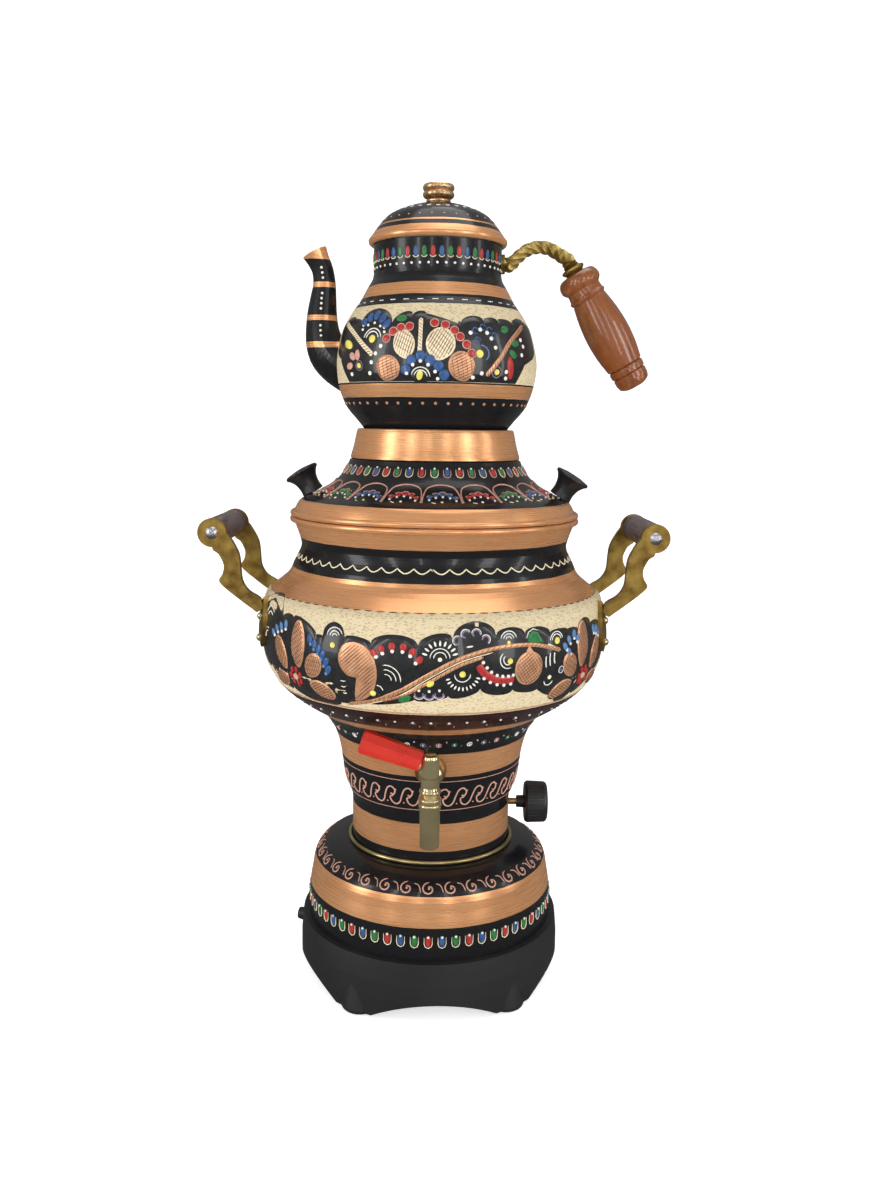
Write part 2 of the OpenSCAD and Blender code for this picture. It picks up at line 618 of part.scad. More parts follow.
grip_top = [82, 0, 446];
grip_dir = [cos(grip_slope), 0, -sin(grip_slope)];
bracket_route = [[pad_out + 0.1, 0, 448.8], [42, 0, 448.8], [43.8, 0, 448.8], [48, 0, 453], [53.4, 0, 457.2], [60, 0, 459.2],
    [67, 0, 458.4], [73.4, 0, 455], grip_top - 7 * grip_dir, grip_top - 4.6 * grip_dir, grip_top - 2.3 * grip_dir];
bracket_radii = [4.4, 4.4, 4.3, 3.9, 3.9, 4, 4.1, 4.2, 4.4, 4.6, 4.8];
module handle_bracket() color("#a8883a")
    swept(smooth_curve(bracket_route, 6), [for (p = smooth_curve([for (i = [0 : len(bracket_radii) - 1])
        [bracket_radii[i], i]], 6)) p[0]], 6, 760);

module along_grip() {
    translate(grip_top) rotate([0, 90 + grip_slope, 0]) children();
}
module grip_rod() color("#a8aaac") along_grip() cylinder(r = 2, h = 56);
module grip_ferrule() color("#a8883a") along_grip() rotate_extrude()
    polygon(concat([[2 + nothing, -2.2], [5, -2.2]], arc([5.8, -0.6], 1.3, -40, 60), [[5.2, 1.9], [2 + nothing, 1.9]]));

module teapot_grip() color("#6a3a22") along_grip() difference() {
    rotate_extrude() polygon(concat([[0, 2]], smooth_curve([[6, 2], [10.4, 3], [12.4, 6], [12.6, 9.4],
        [11.2, 11.6]]), smooth_curve([[10.3, 12.4], [10.6, 16], [11.4, 17.6], [10.2, 19.4]]),
        smooth_curve([[10.6, 20], [12.4, 30], [13.4, 42], [12.8, 54], [11, 64.4]]),
        [[10, 65], [10.8, 65.8]], smooth_curve([[10.9, 67], [10.6, 69.4]]), [[9.7, 70], [10.4, 70.8]],
        smooth_curve([[10.3, 74], [9, 77.4], [5, 79.2]]), [[0, 79.4]]));
    translate([0, 0, -3]) cylinder(r = 2 + nothing, h = 59.4);
}

module pot_lid() color("#2a2420") {
    difference() {
        spun_wall(pot_lid_outline, 1);
        translate([0, 0, 470]) cylinder(r = 2.2, h = 20);
    }
    ring(39.4, 460.8, 2.3);
}

module pot_lid_flange() color("#b9bcbe") {
    tube(35.8, 34.8, 450, 461);
    tube(37.06, 35, 460, 461);
}

module pot_lid_knob() color("#b98a4a") difference() {
    rotate_extrude() polygon(concat([[0, 483.3], [7, 483.3]], arc([6.2, 484.6], 1.2, -60, 60),
        [[5.4, 486.2]], arc([7.4, 488.4], 2.1, -70, 70), arc([7.2, 492.4], 2.3, -50, 50),
        [[6.6, 494.6], [4, 495], [0, 495]]));
    translate([0, 0, 480]) cylinder(r = 1.8 + nothing, h = 12);
}

module pot_lid_screw() color("#c0c2c4") {
    translate([0, 0, 480.4]) cylinder(r = 1.8, h = 11);
    translate([0, 0, 479.6]) cylinder(r = 4, h = 2.4);
}

plastic_base();
base_plate();
base_screws();
cord_gland();
terminal_block();
supply_leads();
heater_leads();
base_shell();
waist_bead();
waist_shell();
body_shell();
tank_floor();
heating_element();
heater_seals();
heater_nuts();
thermostat();
thermostat_bulb();
capillary_tube();
tie_rod();
tie_nut();
tap_body();
tap_escutcheon();
tap_seal();
tap_nut();
tap_stop_pin();
tap_plug();
lever_rod();
lever_sleeve();
thermostat_shaft();
thermostat_dial();
left_front_arm();
left_back_arm();
right_front_arm();
right_back_arm();
arm_rivets();
left_roller();
right_roller();
roller_bolts();
roller_nuts();
lid_shell();
lid_flange();
lid_collar();
teapot_seat();
left_lid_knob();
right_lid_knob();
lid_knob_screws();
teapot_body();
teapot_spout();
handle_pad();
handle_bracket();
pad_rivets();
grip_rod();
grip_ferrule();
teapot_grip();
pot_lid();
pot_lid_flange();
pot_lid_knob();
pot_lid_screw();
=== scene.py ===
import math

import bpy
import numpy as np
from mathutils import Matrix, Vector


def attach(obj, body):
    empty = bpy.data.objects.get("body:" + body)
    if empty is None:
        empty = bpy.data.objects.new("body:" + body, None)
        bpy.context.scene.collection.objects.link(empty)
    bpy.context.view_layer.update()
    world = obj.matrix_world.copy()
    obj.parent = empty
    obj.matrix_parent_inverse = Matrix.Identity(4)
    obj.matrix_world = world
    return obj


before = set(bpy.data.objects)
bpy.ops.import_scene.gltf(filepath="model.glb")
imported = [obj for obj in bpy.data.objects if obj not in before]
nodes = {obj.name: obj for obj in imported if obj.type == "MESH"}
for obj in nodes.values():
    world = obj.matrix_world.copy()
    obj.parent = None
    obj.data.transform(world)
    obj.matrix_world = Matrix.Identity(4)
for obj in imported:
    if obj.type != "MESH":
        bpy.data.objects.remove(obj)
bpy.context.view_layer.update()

# ---- Studio ----------------------------------------------------------------
# A pale sweep in a white room, with six tall soft lights round the front, so
# that round copper shows bright and dark stripes, and one light above. The
# lens stands a little above the urn's shoulder, looking down.

LENS_AT = (0.003, -0.6545, 0.3532)
LENS_TILT, LENS_ROLL = 9.54, 0.8
lens = bpy.data.cameras.new("lens")
lens.sensor_fit = "VERTICAL"
lens.sensor_height = 36
lens.lens = 31.3
lens.clip_start = 0.01
viewer = bpy.data.objects.new("viewer", lens)
bpy.context.scene.collection.objects.link(viewer)
tilted = Matrix.Rotation(math.radians(90 - LENS_TILT), 4, "X")
rolled = Matrix.Rotation(math.radians(LENS_ROLL), 4, "Z")
viewer.matrix_world = Matrix.Translation(LENS_AT) @ (tilted @ rolled)
bpy.context.scene.camera = viewer
bpy.context.scene.view_settings.view_transform = "Standard"


class Wire:
    """One output of a shading node. Sums and products of wires add their own nodes."""

    def __init__(self, tree, socket=None):
        self.tree = tree
        self.socket = socket

    def node(self, kind, settings=None, values=None, out=0):
        """A new node of this type, with its settings and its sockets' values or wires."""
        made = self.tree.nodes.new("ShaderNode" + kind)
        for key, value in (settings or {}).items():
            if key == "stops":
                ramp = made.color_ramp
                while len(ramp.elements) < len(value):
                    ramp.elements.new(1.0)
                for element, (place, colour) in zip(ramp.elements, value):
                    element.position = place
                    element.color = (*colour, 1)
            elif key == "interpolation":
                made.color_ramp.interpolation = value
            else:
                setattr(made, key, value)
        for key, value in (values or {}).items():
            if isinstance(value, Wire):
                self.tree.links.new(value.socket, made.inputs[key])
            else:
                made.inputs[key].default_value = value
        return Wire(self.tree, made.outputs[out])

    def math(self, operation, *others):
        values = dict(enumerate((self, *others)))
        return self.node("Math", {"operation": operation}, values)

    def __add__(self, other):
        return self.math("ADD", other)

    def __sub__(self, other):
        return self.math("SUBTRACT", other)

    def __mul__(self, other):
        return self.math("MULTIPLY", other)

    def __truediv__(self, other):
        return self.math("DIVIDE", other)

    def __lt__(self, other):
        return self.math("LESS_THAN", other)

    def __rsub__(self, other):
        return (self * -1) + other

    __radd__ = __add__
    __rmul__ = __mul__

    def mix(self, low, high):
        """The colour low where this wire is 0, and high where it is 1."""
        pair = [c if isinstance(c, Wire) else (*c, 1) for c in (low, high)]
        return self.node("Mix", {"data_type": "RGBA"}, {0: self, 6: pair[0], 7: pair[1]}, 2)

    def stretched(self, scale):
        """This place, each way multiplied by its own scale."""
        return self.node("VectorMath", {"operation": "MULTIPLY"}, {0: self, 1: scale})

    def noise(self, where, scale, detail=3.0):
        return self.node("TexNoise", None, {"Vector": where, "Scale": scale, "Detail": detail})

    def bump(self, height, depth, strength=1.0):
        return self.node("Bump", None, {"Height": height, "Distance": depth, "Strength": strength})


def material(name, shade):
    """A new surface. shade takes a wire to build on, and gives the shader's sockets."""
    made = bpy.data.materials.new(name)
    made.use_nodes = True
    tree = made.node_tree
    surface = tree.nodes["Principled BSDF"]
    for key, value in shade(Wire(tree)).items():
        socket = surface.inputs[key]
        if isinstance(value, Wire):
            tree.links.new(value.socket, socket)
        else:
            socket.default_value = value
    made.diffuse_color = (0.5, 0.5, 0.5, 1)
    return made


def place(w):
    """Where a point lies on the samovar, in metres."""
    return w.node("TexCoord", None, None, 3)


def height_of(w, where):
    return w.node("SeparateXYZ", None, {0: where}, 2)


def pale_floor(w):
    grain = w.noise(place(w), 40, 4)
    return {"Base Color": grain.mix((0.86, 0.86, 0.86), (0.9, 0.9, 0.9)), "Roughness": 0.8,
            "Emission Color": (1, 1, 1, 1), "Emission Strength": 0.6}


def studio_mesh(name, corners, faces):
    mesh = bpy.data.meshes.new(name)
    mesh.from_pydata(corners, [], faces)
    made = bpy.data.objects.new(name, mesh)
    bpy.context.scene.collection.objects.link(made)
    return made


FLOOR_HALF, FLOOR_DROP = 5.0, 0.0002
COVE_START, COVE_R, COVE_TOP = 2.0, 1.5, 4.0
profile = [(-FLOOR_HALF, 0.0)]
profile += [(COVE_START + COVE_R * math.sin(t), COVE_R * (1 - math.cos(t)))
            for t in np.linspace(0, math.pi / 2, 16)]
profile += [(COVE_START + COVE_R, COVE_TOP)]
corners = [(x, y, z - FLOOR_DROP) for y, z in profile for x in (-FLOOR_HALF, FLOOR_HALF)]
floor = studio_mesh("studio_floor", corners, [(2 * i, 2 * i + 1, 2 * i + 3, 2 * i + 2)
                                              for i in range(len(profile) - 1)])
floor.data.shade_smooth()
floor.data.materials.append(material("pale_floor", pale_floor))
floor.visible_glossy = False

world = bpy.data.worlds.new("studio_air")
bpy.context.scene.world = world
world.use_nodes = True
air = Wire(world.node_tree)
height = height_of(air, air.node("TexCoord", None, None, 0))
room = air.node("ValToRGB", {"stops": [(0.0, (0.12, 0.12, 0.12)), (0.48, (0.12, 0.115, 0.11)),
                                       (0.56, (0.24, 0.23, 0.22)), (1.0, (0.45, 0.45, 0.45))]},
                {0: height * 0.5 + 0.5})
reflected = air.node("LightPath", None, None, 3)
seen = air.node("LightPath", None, None, 0)
colour = seen.mix(reflected.mix((0.55, 0.55, 0.55), room), (1.0, 1.0, 1.0))
backdrop = world.node_tree.nodes["Background"]
world.node_tree.links.new(colour.socket, backdrop.inputs["Color"])
backdrop.inputs["Strength"].default_value = 0.9


def lamp(name, at, target, size, power, tint=(1, 1, 1)):
    light = bpy.data.lights.new(name, "AREA")
    light.shape = "RECTANGLE"
    light.size, light.size_y = size
    light.energy = power
    light.color = tint
    made = bpy.data.objects.new(name, light)
    bpy.context.scene.collection.objects.link(made)
    made.location = at
    made.rotation_euler = (Vector(target) - Vector(at)).to_track_quat("-Z", "Y").to_euler()


STRIP_AWAY, STRIP_UP, STRIP_TALL = 1.4, 0.55, 1.1


def strip(name, side, wide, power):
    """A tall soft light, side degrees round from the front."""
    t = math.radians(side)
    lamp(name, (STRIP_AWAY * math.sin(t), -STRIP_AWAY * math.cos(t), STRIP_UP), (0, 0, 0.26),
         (wide, STRIP_TALL), power)


STRIPS = ((-66, 0.34, 7), (-34, 0.1, 3.4), (-10, 0.05, 1.6), (17, 0.08, 2.6), (46, 0.26, 5.5),
          (78, 0.1, 2.4))
for side, wide, power in STRIPS:
    strip("strip_%d" % side, side, wide, power)
lamp("top", (0.1, 0.1, 1.5), (0, 0, 0.3), (0.9, 0.9), 6)

# ---- Black bakelite base, cord gland, and the zinc plate under it ----------
# The base is one moulding, slightly orange-peeled and dull; the plate and its
# screws close it from below.


def rest_in(node_names, surface):
    """Gives these solids one surface all over."""
    for name in node_names:
        for slot in nodes[name].material_slots:
            slot.material = surface


def bakelite(w):
    where = place(w)
    peel = w.noise(where, 900, 2)
    smudge = w.noise(where, 18, 4)
    return {"Base Color": smudge.mix((0.008, 0.008, 0.009), (0.02, 0.02, 0.022)),
            "Roughness": smudge * 0.25 + 0.36, "Specular IOR Level": 0.35,
            "Normal": w.bump(peel, 0.00012, 0.5)}


def zinc(w):
    where = place(w)
    spangle = w.node("TexVoronoi", None, {"Vector": where, "Scale": 260}, 1)
    wear = w.noise(where, 90, 4)
    return {"Base Color": wear.mix((0.42, 0.43, 0.45), (0.68, 0.69, 0.71)), "Metallic": 1.0,
            "Roughness": wear * 0.25 + 0.22, "Normal": w.bump(spangle, 0.00003, 0.4)}


rest_in(["plastic_base", "cord_gland"], material("bakelite", bakelite))
rest_in(["base_plate", "base_screws", "tie_rod", "tie_nut", "roller_bolts", "roller_nuts", "lever_rod",
         "tap_stop_pin", "lid_knob_screws", "grip_rod", "pot_lid_screw"], material("zinc", zinc))

# ---- Electrics: terminal block, leads, thermostat, heating element ---------
# Pale moulded housings, sleeved leads, a drawn steel heating tube with brass
# nuts and rubber seals, and a copper bulb on its capillary.

def pale_housing(w):
    grain = w.noise(place(w), 300, 3)
    return {"Base Color": grain.mix((0.62, 0.58, 0.48), (0.74, 0.7, 0.6)), "Roughness": 0.55,
            "Normal": w.bump(grain, 0.0001, 0.4)}


def sleeve(colour):
    def shade(w):
        where = place(w)
        braid = w.node("TexWave", {"bands_direction": "DIAGONAL"}, {"Vector": where, "Scale": 700})
        dark = tuple(c * 0.5 for c in colour)
        return {"Base Color": braid.mix(dark, colour), "Roughness": 0.6,
                "Normal": w.bump(braid, 0.0002, 0.6)}
    return shade


def drawn_metal(dark, light, rough):
    def shade(w):
        where = place(w)
        streak = w.noise(where, 140, 5)
        return {"Base Color": streak.mix(dark, light), "Metallic": 1.0, "Roughness": streak * 0.2 + rough,
                "Normal": w.bump(streak, 0.00005, 0.4)}
    return shade


rest_in(["terminal_block", "thermostat"], material("pale_housing", pale_housing))
rest_in(["supply_leads"], material("brown_sleeve", sleeve((0.18, 0.08, 0.04))))
rest_in(["heater_leads"], material("red_sleeve", sleeve((0.4, 0.06, 0.04))))
rest_in(["heating_element"],
        material("steel_sheath", drawn_metal((0.3, 0.3, 0.32), (0.55, 0.55, 0.57), 0.3)))
rest_in(["thermostat_bulb", "capillary_tube"],
        material("bare_copper", drawn_metal((0.5, 0.24, 0.13), (0.8, 0.42, 0.27), 0.25)))
rest_in(["heater_seals", "tap_seal"], material("seal_rubber", sleeve((0.05, 0.03, 0.03))))
rest_in(["tank_floor", "lid_flange", "teapot_seat", "pot_lid_flange"],
        material("tinned", drawn_metal((0.5, 0.5, 0.52), (0.75, 0.75, 0.76), 0.2)))

# ---- Spun copper and its painted bands -------------------------------------
# Each shell is spun copper, tinned inside and turned bright outside, so it keeps
# fine turning lines, then banded in black and cream enamel on a slow lathe. The
# bands are painted by hand, so their edges waver slightly.

MM = 0.001
BLACK, COPPER, CREAM, RED_BLACK = range(4)
ENAMEL_COLOURS = {BLACK: (0.008, 0.008, 0.009), COPPER: (0.83, 0.46, 0.3), CREAM: (0.5, 0.41, 0.25),
                  RED_BLACK: (0.02, 0.008, 0.007)}
EDGE_WAVER = 0.0007
FACES_IN = -0.003


def banded(bands, tinned=True):
    """bands gives, from low to high, each band's lower edge in millimetres and its finish."""
    low, high = bands[0][0], bands[-1][0] + 20

    def shade(w):
        where = place(w)
        wobble = w.noise(where, 60, 2) - 0.5
        level = (height_of(w, where) + wobble * EDGE_WAVER - low * MM) / ((high - low) * MM)

        def pick(values):
            stops = [((z - low) / (high - low), values(finish)) for z, finish in bands]
            return w.node("ValToRGB", {"interpolation": "CONSTANT", "stops": stops}, {0: level})

        paint = pick(lambda f: ENAMEL_COLOURS[f])
        metal = pick(lambda f: (float(f == COPPER),) * 3) * 1.0
        cream = pick(lambda f: (float(f == CREAM),) * 3) * 1.0
        if tinned:
            outwards, normal = where.stretched((1.0, 1.0, 0.0)), w.node("TexCoord", None, None, 1)
            facing = w.node("VectorMath", {"operation": "DOT_PRODUCT"}, {0: outwards, 1: normal}, 1)
            inside = facing < FACES_IN
            metal, cream = metal.math("MAXIMUM", inside), cream * (1 - inside)
        turning = w.noise(where.stretched((30.0, 30.0, 2600.0)), 1.0, 4)
        tarnish = w.noise(where, 26, 4)
        bright = tarnish.mix((0.54, 0.22, 0.08), (0.84, 0.42, 0.19))
        bright = (turning * 0.3).mix(bright, (0.9, 0.55, 0.31))
        if tinned:
            bright = inside.mix(bright, tarnish.mix((0.42, 0.4, 0.37), (0.62, 0.6, 0.56)))
        flattened = where.stretched((420.0, 420.0, 1000.0))
        pits = w.node("TexVoronoi", None, {"Vector": flattened, "Scale": 1.0})
        pit = pits < 0.36
        patch = w.noise(where, 500, 3)
        stippled = (patch * cream * 0.6).mix(paint, (0.64, 0.55, 0.38))
        stippled = (pit * cream * (patch * 0.9)).mix(stippled, (0.2, 0.13, 0.06))
        relief = turning * metal * 0.06 + (pits * cream + w.noise(where, 420, 2) * 0.12)
        return {"Base Color": metal.mix(stippled, bright), "Metallic": metal * 0.66,
                "Roughness": metal * (turning * 0.2 - 0.05) + 0.24 + cream * 0.35,
                "Specular IOR Level": 0.25,
                "Coat Weight": (1 - metal) * (1 - cream) * 0.15, "Normal": w.bump(relief, 0.00025, 0.5)}
    return shade


base_bands = [(30, BLACK), (59, COPPER), (77.2, BLACK)]
urn_bands = [(86, BLACK), (94.6, COPPER), (112.4, BLACK), (145.2, COPPER), (160.8, BLACK), (176, COPPER),
             (181.3, RED_BLACK), (194.4, CREAM), (252.7, COPPER), (266, BLACK), (284, COPPER)]
lid_bands = [(296, COPPER), (307.2, BLACK), (334, COPPER)]
pot_bands = [(340, BLACK), (368.2, COPPER), (375.8, BLACK), (376.6, CREAM), (420.3, BLACK), (426.3, COPPER),
             (433.3, BLACK)]
pot_lid_bands = [(440, BLACK), (457, COPPER), (465.4, BLACK), (468.2, COPPER), (469.2, BLACK)]
spout_bands = [(370, BLACK), (398, COPPER), (401.5, BLACK), (414, COPPER), (417, BLACK), (433.6, COPPER),
               (436.6, BLACK), (450, COPPER)]
rest_in(["base_shell"], material("base_enamel", banded(base_bands)))
rest_in(["waist_shell", "body_shell"], material("urn_enamel", banded(urn_bands)))
rest_in(["lid_shell"], material("lid_enamel", banded(lid_bands)))
rest_in(["lid_collar"], material("collar_copper", banded([(320, COPPER), (340, COPPER)])))
rest_in(["teapot_body"], material("pot_enamel", banded(pot_bands)))
rest_in(["teapot_spout"], material("spout_enamel", banded(spout_bands, tinned=False)))
rest_in(["pot_lid"], material("pot_lid_enamel", banded(pot_lid_bands)))

# ---- Brass, bronze, wood and the small coloured plastics -------------------
# The arms are rough castings gone brown in their hollows; the tap is turned
# and bright; the rollers are dark, the teapot's handle is red-brown wood.

def cast_brass(dark, light, rough, coarse=1.0):
    """coarse is 1 for a skin as cast, and less where it has been turned."""
    def shade(w):
        where = place(w)
        mottle = w.noise(where, 130 * coarse, 6)
        patch = w.node("ValToRGB", {"stops": [(0.3, dark), (0.68, light)]}, {0: mottle})
        skin = w.noise(where, 700, 3)
        return {"Base Color": patch, "Metallic": 0.9, "Roughness": skin * (0.22 * coarse) + rough,
                "Normal": w.bump(skin, 0.0003 * coarse, 0.5)}
    return shade


def turned_wood(dark, light, gloss, length, patchy=False):
    """Wood whose grain runs along the direction length; patchy where the stain is uneven."""
    def shade(w):
        where = place(w)
        along = w.node("VectorMath", {"operation": "DOT_PRODUCT"}, {0: where, 1: length}, 1)
        squeezed = w.node("CombineXYZ", None, {0: along, 1: along, 2: along}).stretched(length)
        thin = w.node("VectorMath", {"operation": "SUBTRACT"}, {0: where, 1: squeezed})
        thin = w.node("VectorMath", {"operation": "SCALE"}, {0: thin, "Scale": 14.0})
        drawn = w.node("VectorMath", {"operation": "ADD"}, {0: thin, 1: squeezed})
        grain = w.noise(drawn, 22.0, 6)
        figure = w.node("ValToRGB", {"stops": [(0.28, dark), (0.5, light), (0.74, dark)]}, {0: grain})
        if patchy:
            figure = w.noise(where, 55, 3).mix(figure, light)
        return {"Base Color": figure, "Roughness": grain * 0.2 + gloss, "Coat Weight": 0.4,
                "Normal": w.bump(grain, 0.0001, 0.5)}
    return shade


def moulded(colour, rough):
    def shade(w):
        where = place(w)
        smudge = w.noise(where, 60, 3)
        light = tuple(min(c * 1.5 + 0.004, 1) for c in colour)
        return {"Base Color": smudge.mix(colour, light), "Roughness": smudge * 0.12 + rough,
                "Coat Weight": 0.25, "Normal": w.bump(w.noise(where, 800, 2), 0.00008, 0.4)}
    return shade


rest_in(["left_front_arm", "left_back_arm", "right_front_arm", "right_back_arm"],
        material("aged_brass", cast_brass((0.15, 0.08, 0.016), (0.42, 0.28, 0.07), 0.34)))
rest_in(["tap_body", "tap_plug", "tap_nut", "heater_nuts", "pad_rivets", "arm_rivets"],
        material("turned_brass", cast_brass((0.42, 0.33, 0.15), (0.72, 0.61, 0.35), 0.16, 0.2)))
rest_in(["handle_pad", "handle_bracket", "grip_ferrule"],
        material("drawn_brass", cast_brass((0.22, 0.14, 0.03), (0.55, 0.41, 0.13), 0.24)))
rest_in(["waist_bead"],
        material("bead_brass", cast_brass((0.34, 0.26, 0.11), (0.62, 0.5, 0.26), 0.26, 0.4)))
rest_in(["tap_escutcheon", "thermostat_shaft"],
        material("bronze", cast_brass((0.24, 0.12, 0.04), (0.5, 0.3, 0.13), 0.25)))
rest_in(["pot_lid_knob"],
        material("knob_brass", cast_brass((0.5, 0.28, 0.13), (0.8, 0.56, 0.33), 0.18)))
ALONG_ROLLER, ALONG_GRIP = (0.0, 1.0, 0.0), (0.515, 0.0, -0.857)
rest_in(["left_roller", "right_roller"],
        material("dark_wood", turned_wood((0.022, 0.012, 0.011), (0.1, 0.06, 0.055), 0.34, ALONG_ROLLER)))
rest_in(["teapot_grip"],
        material("red_wood", turned_wood((0.035, 0.009, 0.003), (0.21, 0.062, 0.016), 0.16, ALONG_GRIP,
                                         patchy=True)))
rest_in(["lever_sleeve"], material("red_plastic", moulded((0.36, 0.011, 0.004), 0.22)))
rest_in(["thermostat_dial", "left_lid_knob", "right_lid_knob"],
        material("black_plastic", moulded((0.006, 0.006, 0.007), 0.4)))

# ---- Round walls and square edges, on every solid --------------------------
# Spun, turned and cast walls are shaded as one curve. Only an edge that was cut
# or folded square stays sharp. The solids' own meshes are left as they are.

SQUARE_EDGE = math.radians(35)
rounding = bpy.data.node_groups.new("round_walls", "GeometryNodeTree")
for way in ("INPUT", "OUTPUT"):
    rounding.interface.new_socket("Geometry", in_out=way, socket_type="NodeSocketGeometry")
square = rounding.nodes.new("FunctionNodeCompare")
square.operation = "GREATER_THAN"
square.inputs[1].default_value = SQUARE_EDGE
fold = rounding.nodes.new("GeometryNodeInputMeshEdgeAngle")
rounding.links.new(fold.outputs["Unsigned Angle"], square.inputs[0])
shape = rounding.nodes.new("NodeGroupInput").outputs[0]
for domain, soft in (("FACE", True), ("EDGE", True), ("EDGE", False)):
    shading = rounding.nodes.new("GeometryNodeSetShadeSmooth")
    shading.domain = domain
    shading.inputs["Shade Smooth"].default_value = soft
    if not soft:
        rounding.links.new(square.outputs[0], shading.inputs["Selection"])
    rounding.links.new(shape, shading.inputs["Geometry"])
    shape = shading.outputs[0]
rounding.links.new(shape, rounding.nodes.new("NodeGroupOutput").inputs[0])
for solid in nodes.values():
    solid.modifiers.new("round_walls", "NODES").node_group = rounding

# ---- Enamel laid on the shells ---------------------------------------------
# Every drop, dot, petal, arc and scroll stands a little proud of the shell,
# because the enamel is piped on thick and the copper lines are raised by
# the engraver. Places are degrees round from the tap and millimetres up.

PALETTE = {"white": (0.6, 0.59, 0.53), "cream": (0.7, 0.6, 0.4), "red": (0.28, 0.014, 0.012),
           "blue": (0.018, 0.06, 0.17), "sky": (0.07, 0.15, 0.3), "green": (0.015, 0.12, 0.03),
           "yellow": (0.55, 0.48, 0.09), "pink": (0.44, 0.23, 0.17), "violet": (0.15, 0.11, 0.17),
           "black": (0.008, 0.008, 0.009), "engraved": (0.09, 0.035, 0.018)}
palette_materials = {}


def enamel(colour):
    def shade(w):
        where = place(w)
        mottle = w.noise(where, 300, 3)
        light = tuple(min(c * 1.5 + 0.01, 1) for c in colour)
        dark = tuple(c * 0.72 for c in colour)
        return {"Base Color": mottle.mix(dark, light), "Roughness": mottle * 0.2 + 0.2,
                "Coat Weight": 0.25, "Specular IOR Level": 0.3, "Normal": w.bump(mottle, 0.0001, 0.4)}
    return shade


def raised_copper(w):
    where = place(w)
    patch = w.noise(where, 240, 4)
    return {"Base Color": patch.mix((0.46, 0.2, 0.09), (0.9, 0.5, 0.29)), "Metallic": 0.6,
            "Roughness": patch * 0.2 + 0.28, "Normal": w.bump(patch, 0.00015, 0.5)}


def raised_cream(w):
    patch = w.noise(place(w), 260, 4)
    return {"Base Color": patch.mix((0.55, 0.42, 0.25), (0.82, 0.72, 0.5)), "Roughness": 0.4,
            "Normal": w.bump(patch, 0.00015, 0.5)}


for colour_name, tint in PALETTE.items():
    palette_materials[colour_name] = material("enamel_" + colour_name, enamel(tint))
palette_materials["copper"] = material("raised_copper", raised_copper)
palette_materials["pale"] = material("raised_cream", raised_cream)
COLOUR_ORDER = list(palette_materials)
FIELD, POT_FIELD = 0.12, 0.15  # how far the black field stands up, on the urn and on the pot


def smooth(points, steps=4):
    """The points with a smooth curve between them."""
    p = [np.array(q, float) for q in points]
    out = []
    for i in range(len(p) - 1):
        a, b, c, d = p[max(i - 1, 0)], p[i], p[i + 1], p[min(i + 2, len(p) - 1)]
        for k in range(steps):
            t = k / steps
            out.append(0.5 * (2 * b + (c - a) * t + (2 * a - 5 * b + 4 * c - d) * t * t
                              + (3 * b - a - 3 * c + d) * t ** 3))
    return out + [p[-1]]


def round_shape(half_wide, half_high, count=20, turn=0.0, point=0.0):
    """An oval; point draws its lower end out into a drop."""
    shape = []
    for k in range(count):
        t = 2 * math.pi * k / count
        u, v = half_wide * math.cos(t), half_high * math.sin(t)
        if v < 0:
            u *= 1 - point * (v / half_high) ** 2
        c, s = math.cos(math.radians(turn)), math.sin(math.radians(turn))
        shape.append((u * c - v * s, u * s + v * c))
    return shape


